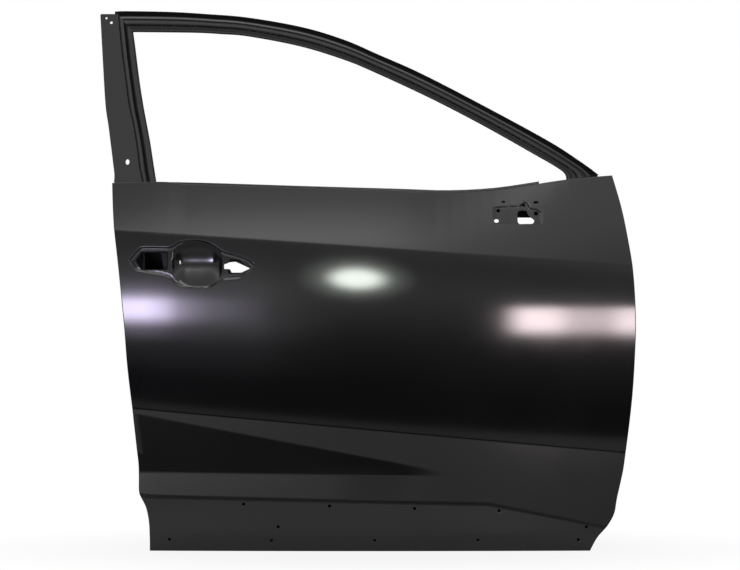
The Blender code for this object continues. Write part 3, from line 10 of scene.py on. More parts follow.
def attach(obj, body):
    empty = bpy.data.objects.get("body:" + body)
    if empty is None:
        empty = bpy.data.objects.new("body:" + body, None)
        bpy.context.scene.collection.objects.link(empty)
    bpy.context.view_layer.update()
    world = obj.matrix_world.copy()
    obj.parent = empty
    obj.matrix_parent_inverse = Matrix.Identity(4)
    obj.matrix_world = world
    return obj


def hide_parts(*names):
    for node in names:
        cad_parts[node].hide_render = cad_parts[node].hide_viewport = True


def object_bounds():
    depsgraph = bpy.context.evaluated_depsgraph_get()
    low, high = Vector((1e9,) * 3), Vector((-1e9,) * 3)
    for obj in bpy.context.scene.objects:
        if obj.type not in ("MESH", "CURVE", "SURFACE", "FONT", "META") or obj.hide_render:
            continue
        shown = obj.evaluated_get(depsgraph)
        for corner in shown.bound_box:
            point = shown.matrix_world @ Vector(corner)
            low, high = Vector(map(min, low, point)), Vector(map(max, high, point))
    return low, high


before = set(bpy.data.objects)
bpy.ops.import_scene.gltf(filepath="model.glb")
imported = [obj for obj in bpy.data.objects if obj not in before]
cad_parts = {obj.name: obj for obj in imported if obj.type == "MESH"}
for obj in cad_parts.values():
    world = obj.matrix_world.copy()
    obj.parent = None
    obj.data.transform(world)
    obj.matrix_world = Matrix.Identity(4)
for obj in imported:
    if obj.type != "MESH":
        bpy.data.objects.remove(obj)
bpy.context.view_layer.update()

# Main sizes in metres; ORIGIN is the upper hinge seat, the zero of the shared frame
HALF_LENGTH = 0.570
BELT_HEIGHT = 0.790
ORIGIN = np.array((0.9035 * HALF_LENGTH, 0.075, 0.7089 * BELT_HEIGHT))
FRAME_RISE = 0.373
SKIN_SHEET = 0.0008
PANEL_SHEET = 0.0010
FRAME_SHEET = 0.0010
CLEARANCE = 0.0003
HEM_GAP = 0.0005
HEM_STACK = 2 * SKIN_SHEET + PANEL_SHEET + 2 * HEM_GAP
HEM_WIDTH = 0.010
BELT_FLANGE = 0.006
RIM_SPACING = 0.032

# Skin: outline and feature lines in shares of HALF_LENGTH and BELT_HEIGHT
rear_edge = [
    (-0.980, 1.0070), (-0.968, 0.902), (-0.947, 0.771), (-0.926, 0.621), (-0.913, 0.492),
    (-0.886, 0.307), (-0.873, 0.217), (-0.875, 0.168), (-0.854, 0.139), (-0.838, 0.095),
    (-0.833, 0.055), (-0.833, 0.000),
]
sill_edge = [(-0.833, 0.000), (0.836, 0.000)]
front_edge = [
    (0.836, 0.000), (0.859, 0.033), (0.919, 0.092), (0.939, 0.156), (0.964, 0.238),
    (0.991, 0.410), (1.002, 0.549), (1.004, 0.640), (0.995, 0.764), (0.977, 0.856),
    (0.955, 0.941), (0.923, 1.028),
]
belt_edge = [
    (0.923, 1.0280), (0.879, 1.0255), (0.749, 1.0163), (0.622, 1.0025),
    (0.465, 0.9857), (0.290, 0.9781), (0.114, 0.9823), (-0.267, 0.9931),
    (-0.649, 1.0026), (-0.700, 1.0034), (-0.743, 1.0079), (-0.800, 1.0104),
    (-0.980, 1.0070),
]
shoulder = [(-1.05, 0.881), (1.05, 0.779)]
wedge_top = [(-1.05, 0.400), (1.05, 0.264)]
wedge_nose = [(-1.05, 0.408), (-0.90, 0.378), (0.307, 0.214), (1.05, 0.190)]
wedge_foot = [(-1.05, 0.217), (0.275, 0.207), (1.05, 0.160)]
sill_step = [(-1.05, 0.165), (-0.81, 0.152), (0.45, 0.131), (1.05, 0.045)]
SILL_STEP_HEIGHT = 0.0035
LOWER_BEND = 0.0467

# Handle recess in shares of the bowl, and mirror pad in shares of its size
HANDLE = (-0.6491 * HALF_LENGTH, 0.7841 * BELT_HEIGHT)
BOWL_SIZE = (0.056, 0.054)
recess = [
    (-2.66, 0.17), (-2.21, 0.71), (-1.55, 0.71), (-1.07, 0.69), (-0.88, 0.80), (-0.67, 0.93),
    (-0.20, 1.00), (0.29, 0.94), (0.63, 0.79), (0.98, 0.53), (1.47, 0.40), (1.95, 0.24),
    (2.25, -0.02), (2.11, -0.20), (1.90, -0.50), (1.60, -0.62), (0.98, -0.66), (0.63, -0.89),
    (0.39, -0.98), (-0.19, -0.99), (-0.61, -0.93), (-0.88, -0.80), (-1.07, -0.56), (-1.34, -0.48),
    (-1.96, -0.38), (-2.41, -0.29), (-2.61, -0.02),
]
bowl = [
    (-1.07, 0.58), (-0.88, 0.80), (-0.67, 0.93), (-0.20, 1.00), (0.29, 0.94), (0.63, 0.79),
    (0.98, 0.53), (0.98, 0.12), (0.98, -0.29), (0.98, -0.66), (0.63, -0.89), (0.39, -0.98),
    (-0.19, -0.99), (-0.61, -0.93), (-0.88, -0.80), (-1.07, -0.56), (-1.07, -0.15), (-1.07, 0.27),
]
rear_aperture = [(-2.40, 0.12), (-2.15, 0.50), (-1.14, 0.50), (-1.14, -0.24), (-2.13, -0.25)]
front_aperture = [
    (1.03, -0.01), (1.18, 0.02), (1.26, 0.20), (1.62, 0.16), (2.03, -0.19), (1.79, -0.29),
    (1.62, -0.40), (1.21, -0.40), (1.16, -0.23), (1.03, -0.21),
]
MIRROR = (0.5632 * HALF_LENGTH, 0.919 * BELT_HEIGHT)
PAD = (0.106, 0.051)
mirror_pad = [
    (-0.49, 0.34), (0.02, 0.39), (0.14, 0.56), (0.20, 0.48), (0.25, 0.28), (0.38, 0.25),
    (0.48, 0.10), (0.49, -0.42), (-0.49, -0.42),
]
mirror_hole = [
    (-0.02, 0.10), (0.03, 0.19), (0.17, 0.17), (0.20, 0.01), (0.26, -0.13), (0.33, -0.24),
    (0.31, -0.36), (0.28, -0.40), (0.01, -0.41), (-0.02, -0.31),
]
mirror_screws = [
    (-0.0430, 0.0085, 0.0043, 0.0043), (0.0385, 0.0025, 0.0050, 0.0050),
    (-0.0320, 0.0277, 0.0043, 0.0027), (0.0385, 0.0267, 0.0060, 0.0030),
    (0.0120, 0.0201, 0.0043, 0.0027), (-0.0475, -0.0138, 0.0055, 0.0043),
]
clip_holes = [
    (-0.476, 0.1300), (-0.151, 0.1250), (0.170, 0.1180), (0.489, 0.1120), (0.820, 0.0670),
    (-0.345, 0.0680), (-0.757, 0.0320), (-0.371, 0.0300), (0.019, 0.0300), (0.410, 0.0312),
    (0.790, 0.0312),
]
CLIP_HOLE_RADIUS = 0.0037


# Curves in the plane of the door
def at(shares, across=HALF_LENGTH, up=BELT_HEIGHT, base=(0.0, 0.0)):
    return np.array([(base[0] + x * across, base[1] + z * up) for x, z in shares])


def lengths(points):
    return np.concatenate(([0.0], np.cumsum(np.linalg.norm(np.diff(points, axis=0), axis=1))))


def respace(points, spacing=None, count=None):
    reach = lengths(points)
    n = count if count else max(1, round(reach[-1] / spacing))
    want = np.linspace(0, reach[-1], n + 1)
    return np.stack([np.interp(want, reach, points[:, k]) for k in (0, 1)], axis=1)


def smooth(points, spacing=None, count=None, closed=False):
    """Even points along a Catmull-Rom curve through the given ones."""
    points = np.asarray(points, float)
    n = len(points)
    pieces = []
    for i in range(n if closed else n - 1):
        b, a = points[i], points[(i + 1) % n]
        before = points[i - 1] if closed or i else b
        after = points[(i + 2) % n] if closed or i + 2 < n else a
        t = np.linspace(0, 1, 24, endpoint=False)[:, None]
        pieces.append((2 * b + (a - before) * t + (2 * before - 5 * b + 4 * a - after) * t ** 2
                       + (3 * b - before - 3 * a + after) * t ** 3) / 2)
    pieces.append(points[:1] if closed else points[-1:])
    out = respace(np.concatenate(pieces), spacing, count)
    return out[:-1] if closed else out


def ring(x, z, across, up, sides):
    turn = np.linspace(0, math.tau, sides, endpoint=False)
    return np.stack([x + across * np.cos(turn), z + up * np.sin(turn)], axis=1)


def area(loop):
    x, z = loop[:, 0], loop[:, 1]
    return 0.5 * np.sum(x * np.roll(z, -1) - np.roll(x, -1) * z)


def outward(loop):
    """Unit direction out of a closed loop at each of its points."""
    ahead = np.roll(loop, -1, axis=0) - np.roll(loop, 1, axis=0)
    turn = np.stack([ahead[:, 1], -ahead[:, 0]], axis=1) * np.sign(area(loop))
    return turn / np.linalg.norm(turn, axis=1, keepdims=True)


def within(points, loop):
    x, z = points[:, 0], points[:, 1]
    hit = np.zeros(len(points), bool)
    for (ax, az), (bx, bz) in zip(loop, np.roll(loop, -1, axis=0)):
        if az == bz:
            continue
        crossing = (az > z) != (bz > z)
        hit ^= crossing & (x < ax + (bx - ax) * (z - az) / (bz - az))
    return hit


def away(points, loop, closed=True):
    """Shortest distance of each point from a line or loop."""
    best = np.full(len(points), np.inf)
    ends = np.roll(loop, -1, axis=0) if closed else loop[1:]
    for a, b in zip(loop, ends):
        side = b - a
        share = np.clip(((points - a) @ side) / max(side @ side, 1e-15), 0, 1)
        gap = points - a - share[:, None] * side
        best = np.minimum(best, np.einsum("ij,ij->i", gap, gap))
    return np.sqrt(best)


def height(line, x):
    line = np.asarray(line)
    return np.interp(x, line[:, 0], line[:, 1])


def ease(t):
    t = np.clip(t, 0, 1)
    return t * t * (3 - 2 * t)


def rounded(loop, radius, steps=4):
    """A closed loop with its corners rounded."""
    points = []
    n = len(loop)
    for i in range(n):
        before, corner, after = loop[i - 1], loop[i], loop[(i + 1) % n]
        back, ahead = before - corner, after - corner
        size_back, size_ahead = np.linalg.norm(back), np.linalg.norm(ahead)
        reach = min(radius, 0.45 * size_back, 0.45 * size_ahead)
        a, b = corner + back / size_back * reach, corner + ahead / size_ahead * reach
        for t in np.linspace(0, 1, steps + 1):
            points.append((1 - t) ** 2 * a + 2 * t * (1 - t) * corner + t * t * b)
    return np.array(points)


def dense_loop(loop, spacing):
    closed = np.vstack([loop, loop[:1]])
    return respace(closed, spacing)[:-1]


# Depth of the skin
BELT = smooth(at(belt_edge), RIM_SPACING)[::-1]
SHOULDER, TOP, NOSE, FOOT = at(shoulder), at(wedge_top), at(wedge_nose), at(wedge_foot)
STEP = at(sill_step)
RECESS = dense_loop(rounded(at(recess, *BOWL_SIZE, base=HANDLE), 0.010), 0.003)
BOWL = dense_loop(rounded(at(bowl, *BOWL_SIZE, base=HANDLE), 0.014), 0.002)
MIRROR_PAD = at(mirror_pad, *PAD, base=MIRROR)


# Depths of the skin's rows, and how the wedge leaves them
FULL_HEIGHT = 0.660 * BELT_HEIGHT
SHOULDER_DEPTH, SHOULDER_RISE, SHOULDER_SAG = 0.006, 0.039, 0.18
WEDGE_TOP_DEPTH, WEDGE_FALL, SILL_FACE_DEPTH = 0.022, 0.008, 0.014
WEDGE_SLOPE, NOSE_SLOPE, NOSE_STEP = 0.058, 0.07, 0.0038
FADE_FROM, FADE_RUN = 0.05, 0.28
STEP_DEPTH, STEP_FOOT_DEPTH = 0.0186, 0.0180
LOWER_BEND_DEPTH, SILL_DEPTH = 0.023, 0.030
END_BOW = 0.012


def plain_depth(x, z):
    """The skin's depth on its straight rows; the wedge is shallower than the CAD's."""

    def flat(value):
        return np.full_like(x, value)

    top, sh = height(BELT, x), height(SHOULDER, x)
    wt, nose, foot, st = (height(line, x) for line in (TOP, NOSE, FOOT, STEP))
    fade = ease((x / HALF_LENGTH - FADE_FROM) / FADE_RUN)
    plain_nose = WEDGE_TOP_DEPTH - WEDGE_FALL * (wt - nose) / (wt - st)
    plain_foot = WEDGE_TOP_DEPTH - WEDGE_FALL * (wt - foot) / (wt - st)
    nose_depth = WEDGE_TOP_DEPTH - WEDGE_SLOPE * (wt - nose)
    foot_depth = nose_depth + np.minimum(NOSE_STEP, NOSE_SLOPE * (nose - foot))
    rows = [
        (wt, flat(WEDGE_TOP_DEPTH)), (nose, nose_depth + (plain_nose - nose_depth) * fade),
        (foot, foot_depth + (plain_foot - foot_depth) * fade), (st, flat(SILL_FACE_DEPTH)),
        (st - 0.5 * SILL_STEP_HEIGHT, flat(STEP_DEPTH)),
        (st - 1.3 * SILL_STEP_HEIGHT, flat(STEP_FOOT_DEPTH)),
        (flat(LOWER_BEND * BELT_HEIGHT), flat(LOWER_BEND_DEPTH)), (flat(0.0), flat(SILL_DEPTH)),
    ]
    out = rows[-2][1] + (SILL_DEPTH - LOWER_BEND_DEPTH) * (rows[-2][0] - z) / rows[-2][0]
    for (high, hd), (low, ld) in list(zip(rows, rows[1:]))[-2::-1]:
        out = np.where(z >= low, hd + (ld - hd) * (high - z) / (high - low), out)
    curve = WEDGE_TOP_DEPTH * ((FULL_HEIGHT - z) / (FULL_HEIGHT - wt)) ** 2
    out = np.where(z >= wt, curve, out)
    curve = SHOULDER_DEPTH * ((z - FULL_HEIGHT) / (sh - FULL_HEIGHT)) ** 2
    out = np.where(z >= FULL_HEIGHT, curve, out)
    rise = (z - sh) / (top - sh)
    rise = rise * (1 - SHOULDER_SAG * (1 - rise))
    out = np.where(z >= sh, SHOULDER_DEPTH + SHOULDER_RISE * rise, out)
    return out + END_BOW * (x / HALF_LENGTH) ** 2


# Handle recess, its lobes round a trough that fills the bowl, and the mirror pad
BOWL_POWER, BOWL_WIDER, TROUGH_WIDER = 2.6, 1.04, 1.06
LOBE_DEPTH, LOBE_DRAFT = 0.0042, 0.006
CROWN_HEIGHT, CROWN_FROM, CROWN_RUN = 0.0007, 0.0065, 0.002
TROUGH_SCALE, TROUGH_RIM, TROUGH_ROUND, TROUGH_FLOOR = 0.0225, 1.044, 0.09, 0.005
CUP_DRAFT = 0.003
PAD_DEPTH, PAD_DRAFT = 0.003, 0.0035
HANDLE_ZONE, MIRROR_ZONE = (0.17, 0.07), (0.07, 0.04)


def bowl_share(points):
    """Distance from the bowl's middle as a share of the way to its rim, a rounded oval."""
    off = np.abs(points - np.array(HANDLE)) / (BOWL_WIDER * BOWL_SIZE[0], BOWL_SIZE[1])
    return (off[:, 0] ** BOWL_POWER + off[:, 1] ** BOWL_POWER) ** (1 / BOWL_POWER)


def sink(points):
    """How far the handle recess and the mirror pad go in."""
    out = np.zeros(len(points))
    near = np.all(np.abs(points - np.array(HANDLE)) < HANDLE_ZONE, axis=1)
    if near.any():
        p = points[near]
        inner = np.where(within(p, RECESS), away(p, RECESS), 0.0)
        lobe = LOBE_DEPTH * ease(inner / LOBE_DRAFT)
        lobe = lobe - CROWN_HEIGHT * ease((inner - CROWN_FROM) / CROWN_RUN)
        reach = np.array([[TROUGH_WIDER * BOWL_SIZE[0]], [BOWL_SIZE[1]]])
        u, v = np.abs(p - np.array(HANDLE)).T / reach
        trough = TROUGH_SCALE * (TROUGH_RIM - np.sqrt(v * v + TROUGH_ROUND)) * np.clip(1 - u ** 4, 0, 1)
        wall = np.clip(1 - bowl_share(p) ** 8, 0, 1)
        cup = np.clip(trough + TROUGH_FLOOR, 0, 1) * wall * ease(inner / CUP_DRAFT)
        out[near] = np.maximum(lobe, cup)
    near = np.all(np.abs(points - np.array(MIRROR)) < MIRROR_ZONE, axis=1)
    if near.any():
        p = points[near]
        inner = np.where(within(p, MIRROR_PAD), away(p, MIRROR_PAD), 0.0)
        rise = np.clip((p[:, 1] - MIRROR_PAD[-1][1]) / PAD[1], 0, 1)
        out[near] += PAD_DEPTH * rise * ease(inner / PAD_DRAFT)
    return out


def skin_depth(points):
    """Depth with every crease rounded by about 2.5 mm."""
    x, z = points[:, 0], points[:, 1]
    total = sink(points)
    for offset, weight in ((-2, 1), (-1, 4), (0, 6), (1, 4), (2, 1)):
        total = total + plain_depth(x, z + offset * 0.0013) * weight / 16
    return total


# Fine pressed sheets
# Side of the cells that the points of a sheet are sorted into, and the zone searched round a hole
CELL = 0.004
HOLE_MARGIN = 0.002


class Points:
    """Points for a sheet, each kept clear of those before it."""

    def __init__(self):
        self.kept = []
        self.cells = {}

    def near(self, x, z, gap):
        i, j = int(x // CELL), int(z // CELL)
        reach = int(gap // CELL) + 1
        for a in range(i - reach, i + reach + 1):
            for b in range(j - reach, j + reach + 1):
                for px, pz in self.cells.get((a, b), ()):
                    if (px - x) ** 2 + (pz - z) ** 2 < gap * gap:
                        return True
        return False

    def add(self, points, gap, force=False):
        for x, z in points:
            if force or not self.near(x, z, gap):
                self.kept.append((x, z))
                self.cells.setdefault((int(x // CELL), int(z // CELL)), []).append((x, z))


def normals_of(depth, points, step=0.0004):
    """Outward normals of the surface y = depth(x, z), facing the outside of the car."""
    dx = (depth(points + (step, 0)) - depth(points - (step, 0))) / (2 * step)
    dz = (depth(points + (0, step)) - depth(points - (0, step))) / (2 * step)
    n = np.stack([dx, -np.ones(len(dx)), dz], axis=1)
    return n / np.linalg.norm(n, axis=1, keepdims=True)


def lay_out(loops, inner):
    """Triangles between closed loops (first the outline, then holes) with inner points."""
    keep = Points()
    edges = []
    for loop in loops:
        first = len(keep.kept)
        keep.add(loop, 0, force=True)
        n = len(loop)
        edges += [(first + i, first + (i + 1) % n) for i in range(n)]
    for points, space in inner:
        inside_all = within(points, loops[0])
        for hole in loops[1:]:
            low, high = hole.min(0) - HOLE_MARGIN, hole.max(0) + HOLE_MARGIN
            near = np.all((points > low) & (points < high), axis=1)
            bad = np.zeros(len(points), bool)
            bad[near] = within(points[near], hole)
            inside_all &= ~bad
        keep.add(points[inside_all], space)
    flat = [Vector(p) for p in keep.kept]
    found = delaunay_2d_cdt(flat, edges, [], 0, 1e-7)
    verts = np.array([(p.x, p.y) for p in found[0]])
    source = [o[0] if o else -1 for o in found[3]]
    tris = np.array([tuple(f) for f in found[2]])
    middle = verts[tris].mean(axis=1)
    good = within(middle, loops[0])
    for hole in loops[1:]:
        good &= ~within(middle, hole)
    return verts, source, tris[good]


def add_mesh(name, verts, faces, normals):
    """Mesh in the row frame, smooth where its faces agree with the given vertex normals."""
    data = bpy.data.meshes.new(name)
    data.from_pydata([tuple(v) for v in (np.asarray(verts) - ORIGIN)], [],
                     [list(map(int, f)) for f in faces])
    data.update()
    corner_vertex = np.zeros(len(data.loops), np.int32)
    data.loops.foreach_get("vertex_index", corner_vertex)
    flat = np.zeros(len(data.polygons) * 3)
    data.polygons.foreach_get("normal", flat)
    flat = flat.reshape(-1, 3)
    sizes = np.zeros(len(data.polygons), np.int32)
    data.polygons.foreach_get("loop_total", sizes)
    flat = np.repeat(flat, sizes, axis=0)
    wanted = np.asarray(normals)[corner_vertex]
    agree = np.einsum("ij,ij->i", flat, wanted) > 0.35
    wanted = np.where(agree[:, None], wanted, flat)
    data.polygons.foreach_set("use_smooth", np.ones(len(data.polygons), bool))
    data.normals_split_custom_set(wanted.tolist())
    piece = bpy.data.objects.new(name, data)
    bpy.context.scene.collection.objects.link(piece)
    return piece


def sheet_piece(name, loops, inner, depth, thickness, edge_of):
    """A two-sided sheet; edge_of(loop number, points, directions) gives its edge profile."""
    flat, source, tris = lay_out(loops, inner)
    front = np.stack([flat[:, 0], depth(flat), flat[:, 1]], axis=1)
    normal = normals_of(depth, flat)
    count = len(flat)
    verts = list(front) + list(front + (0, thickness, 0))
    norms = list(normal) + list(-normal)
    faces = [(a, b, c) for a, b, c in tris]
    faces += [(c + count, b + count, a + count) for a, b, c in tris]
    where = {}
    for index, first in enumerate(source):
        if first >= 0:
            where.setdefault(first, index)
    start = 0
    for number, loop in enumerate(loops):
        n = len(loop)
        out = outward(loop) if number == 0 else -outward(loop)
        profiles = edge_of(number, loop, out)
        rows = []
        for i in range(n):
            f = where[start + i]
            row = [f]
            for place, direction in profiles[i]:
                row.append(len(verts))
                verts.append(np.asarray(place, float))
                norms.append(np.asarray(direction, float))
            row.append(f + count)
            rows.append(row)
        turn = (area(loop) > 0) == (number == 0)
        for i in range(n):
            a, b = rows[i], rows[(i + 1) % n]
            for k in range(len(a) - 1):
                quad = (a[k], a[k + 1], b[k + 1], b[k])
                faces.append(quad if turn else quad[::-1])
        start += n
    return add_mesh(name, verts, faces, norms)


# Edge profiles that meet on one loop have as many points
EDGE_ROWS = 11


def on_bend(spot, out, deep, radius, angle):
    """A point of a bend that starts on the outer face, and the direction out of the bend there."""
    (x, z), (ox, oz) = spot, out
    reach, back = radius * math.sin(angle), radius * (1 - math.cos(angle))
    return ((x + ox * reach, deep + back, z + oz * reach),
            (ox * math.sin(angle), -math.cos(angle), oz * math.sin(angle)))


def round_edge(depth, thickness, steps=3):
    """Edge profile: a half round between the two faces."""
    radius = thickness / 2

    def profile(number, loop, out):
        return [[on_bend(spot, way, deep, radius, math.pi * k / (steps + 1)) for k in range(1, steps + 1)]
                for spot, way, deep in zip(loop, out, depth(loop))]

    return profile


def turned_edge(sheet, radius, flange, spot, out, deep):
    """Edge that bends to a flange pointing into the door, and comes back along its inner side."""
    (x, z), (ox, oz) = spot, out
    bend = 4
    result = [on_bend(spot, out, deep, radius, math.pi / 2 * k / bend) for k in range(1, bend + 1)]
    straight = EDGE_ROWS - bend - 3
    for k in range(1, straight + 1):
        back = radius + (flange - radius) * k / straight
        result.append(((x + ox * radius, deep + back, z + oz * radius), (ox, 0, oz)))
    inner = radius - sheet
    for back in (flange, (flange + radius) / 2, radius):
        result.append(((x + ox * inner, deep + back, z + oz * inner), (-ox, 0, -oz)))
    return result


def hem_edge(depth, sheet, radius, width, spot, out, deep):
    """Edge folded right round the inner panel and laid back on its inner side."""
    (x, z), (ox, oz) = spot, out
    bend = EDGE_ROWS - 3
    result = [on_bend(spot, out, deep, radius, math.pi * k / bend) for k in range(1, bend + 1)]
    far = np.array([[x - ox * (width - radius), z - oz * (width - radius)]])
    far_deep = depth(far)[0]
    result.append(((far[0][0], far_deep + 2 * radius, far[0][1]), (0, 1, 0)))
    result.append(((far[0][0], far_deep + 2 * radius - sheet, far[0][1]), (0, -1, 0)))
    result.append(((x, deep + 2 * radius - sheet, z), (0, -1, 0)))
    return result


def grid(low, high, spacing):
    nx = max(1, round((high[0] - low[0]) / spacing))
    nz = max(1, round((high[1] - low[1]) / spacing))
    xs = np.linspace(low[0], high[0], nx + 1)
    zs = np.linspace(low[1], high[1], nz + 1)
    gx, gz = np.meshgrid(xs, zs)
    gx[1::2] += (high[0] - low[0]) / nx / 2
    return np.stack([gx.ravel(), gz.ravel()], axis=1)


# Outer skin
HEM_RADIUS = HEM_STACK / 2
rear_path = smooth(smooth(at(rear_edge), RIM_SPACING), 0.005)
sill_path = smooth(at(sill_edge), 0.006)
front_path = smooth(smooth(at(front_edge), RIM_SPACING), 0.005)
belt_path = smooth(smooth(at(belt_edge), RIM_SPACING), 0.005)
skin_rim = np.concatenate([rear_path[:-1], sill_path[:-1], front_path[:-1], belt_path[:-1]])
on_belt = np.zeros(len(skin_rim), bool)
on_belt[len(skin_rim) - len(belt_path) + 1:] = True
skin_out = outward(skin_rim)
skin_outline = skin_rim - skin_out * HEM_RADIUS

APERTURE_RADIUS, APERTURE_FLANGE = 0.0010, 0.0028
LIP_FROM, LIP_TO = -0.797 * HALF_LENGTH, 0.655 * HALF_LENGTH
CORNER_FLANGE, TOP_ZONE = 0.0024, 0.022
HOLE_SIDES = 24
apertures = []
for shape in (rear_aperture, front_aperture):
    loop = dense_loop(rounded(at(shape, *BOWL_SIZE, base=HANDLE), 0.0025), 0.002)
    apertures.append(loop + outward(loop) * APERTURE_RADIUS)
mirror_main = dense_loop(rounded(at(mirror_hole, *PAD, base=MIRROR), 0.003), 0.0015)
round_holes = [ring(MIRROR[0] + x, MIRROR[1] + z, w, h, HOLE_SIDES) for x, z, w, h in mirror_screws]
round_holes += [ring(x, z, CLIP_HOLE_RADIUS, CLIP_HOLE_RADIUS, HOLE_SIDES) for x, z in at(clip_holes)]
skin_loops = [skin_outline] + apertures + [mirror_main] + round_holes


def skin_edges(number, loop, out):
    """A hem round the rim, turned edges at the belt and the apertures, half rounds elsewhere."""
    if number > len(apertures):
        return round_edge(skin_depth, SKIN_SHEET)(number, loop, out)
    result = []
    for i, (spot, way, deep) in enumerate(zip(loop, out, skin_depth(loop))):
        x, z = spot
        if number:
            result.append(turned_edge(SKIN_SHEET, APERTURE_RADIUS, APERTURE_FLANGE, spot, way, deep))
        elif on_belt[i] or z > height(BELT, x) - TOP_ZONE:
            flange = BELT_FLANGE if on_belt[i] and LIP_FROM < x < LIP_TO else CORNER_FLANGE
            result.append(turned_edge(SKIN_SHEET, HEM_RADIUS, flange, spot, way, deep))
        else:
            result.append(hem_edge(skin_depth, SKIN_SHEET, HEM_RADIUS, HEM_WIDTH, spot, way, deep))
    return result


# Points inside the skin, finest beside creases and edges; each set comes with the gap that it keeps
CREASE_GAP, HOLE_GAP, BOWL_GAP, RIM_GAP = 0.0011, 0.0012, 0.0015, 0.0016
FACE_SPACING, FACE_GAP, PLAIN_SPACING, PLAIN_GAP = 0.0035, 0.0024, 0.010, 0.0045
inner = []
xs = np.arange(-0.56, 0.575, 0.007)
for line in (SHOULDER, TOP, NOSE, FOOT, STEP, STEP - (0, SILL_STEP_HEIGHT)):
    for offset in (0, -0.0013, 0.0013, -0.0026, 0.0026, -0.0045, 0.0045):
        inner.append((np.stack([xs, height(line, xs) + offset], axis=1), CREASE_GAP))
for offset in (0, -0.002, 0.002):
    row = np.full_like(xs, LOWER_BEND * BELT_HEIGHT + offset)
    inner.append((np.stack([xs, row], axis=1), BOWL_GAP))
recess_out = outward(RECESS)
for offset in (0, -0.0014, -0.0028, -0.0042, -0.0056, -0.0070, -0.0084, 0.0016):
    inner.append((RECESS + recess_out * offset, CREASE_GAP))
for share in (1.0, 0.97, 0.94, 0.91, 0.86, 0.80, 0.73, 0.65, 0.56, 0.46, 0.35, 0.23, 0.11):
    inner.append((np.array(HANDLE) + share * (BOWL - HANDLE), BOWL_GAP))
pad_line = dense_loop(MIRROR_PAD, 0.003)
pad_out = outward(pad_line)
for offset in (0, -0.0018, -0.0036):
    inner.append((pad_line + pad_out * offset, HOLE_GAP))
for loop in skin_loops[1:]:
    for offset in (0.0014, 0.0036):
        inner.append((loop + outward(loop) * offset, HOLE_GAP))
for offset in (-0.002, -0.005, -0.009):
    inner.append((skin_outline + skin_out * offset, RIM_GAP))
inner.append((grid((-0.53, 0.55), (-0.22, 0.69), FACE_SPACING), FACE_GAP))
inner.append((grid((0.255, 0.69), (0.385, 0.77), FACE_SPACING), FACE_GAP))
inner.append((grid((-0.57, 0.0), (0.58, 0.82), PLAIN_SPACING), PLAIN_GAP))
skin = sheet_piece("pressed_skin", skin_loops, inner, skin_depth, SKIN_SHEET, skin_edges)

# Share of the sill zone at each point, which its gloss follows
SILL_BAND_FROM, SILL_BAND_RUN = 0.004, 0.003
sill = skin.data.attributes.new("across", "FLOAT", "POINT")
spots = np.zeros(len(skin.data.vertices) * 3)
skin.data.vertices.foreach_get("co", spots)
spots = spots.reshape(-1, 3) + ORIGIN
below_step = height(STEP, spots[:, 0]) - SILL_BAND_FROM - spots[:, 2]
sill.data.foreach_set("value", ease(below_step / SILL_BAND_RUN))


# Roll-formed window frame
FRAME_DEPTH, FRAME_WIDTH = 0.026, 0.039
FRAME_SETBACK, LEAN, LEAN_HOLD, LEAN_FADE = 0.060, 0.364, 0.030, 0.060
frame_section = [
    (0.70, 0.94), (0.70, 0.255), (0.985, 0.255), (0.985, 0.200), (0.688, 0.200), (0.688, 0.020),
    (0.52, 0.020), (0.50, 0.150), (0.40, 0.100), (0.30, 0.150), (0.28, 0.250), (0.012, 0.250),
    (0.012, 0.420), (0.14, 1.000), (0.985, 1.000),
]
corner = [(-1.003, 1.066), (-0.929, 0.940)]
header_outer = [
    (-0.954, 1.069), (-0.782, 1.064), (-0.644, 1.051), (-0.478, 1.0285), (-0.265, 0.9685),
    (-0.100, 0.8895), (0.037, 0.7955), (0.194, 0.685), (0.401, 0.516), (0.676, 0.279),
    (0.803, 0.150), (0.877, 0.063),
]
header_inner = [
    (-0.890, 0.940), (-0.680, 0.936), (-0.587, 0.928), (-0.477, 0.9135), (-0.274, 0.8515),
    (-0.100, 0.767), (0.021, 0.688), (0.235, 0.530), (0.429, 0.371), (0.615, 0.205),
    (0.737, 0.090), (0.752, 0.036),
]
sash_outer = [
    (-0.984, 0.845), (-0.962, 0.645), (-0.945, 0.490), (-0.925, 0.371), (-0.906, 0.227),
    (-0.895, 0.117), (-0.880, 0.019), (-0.862, -0.150),
]
sash_inner = [
    (-0.921, 0.871), (-0.897, 0.645), (-0.879, 0.499), (-0.865, 0.400), (-0.845, 0.260),
    (-0.829, 0.130), (-0.815, 0.019), (-0.793, -0.150),
]
pillar_outer = [
    (-1.059, 1.050), (-1.042, 0.784), (-1.022, 0.490), (-1.006, 0.354), (-0.983, 0.142),
    (-0.975, 0.063), (-0.976, 0.014),
]
pillar_holes = [
    (-1.0333, 1.0228, 0.072, 0.072), (-1.0132, 0.9946, 0.087, 0.087),
    (-0.9263, 0.1408, 0.115, 0.164),
]


def frame_at(shares):
    return at(shares, up=FRAME_RISE, base=(0.0, BELT_HEIGHT))


def frame_plane(z):
    below = BELT_HEIGHT - z
    fade = np.clip(below - LEAN_HOLD, 0, LEAN_FADE)
    held = np.minimum(below, LEAN_HOLD)
    return FRAME_SETBACK - LEAN * (held + fade - fade * fade / (2 * LEAN_FADE))


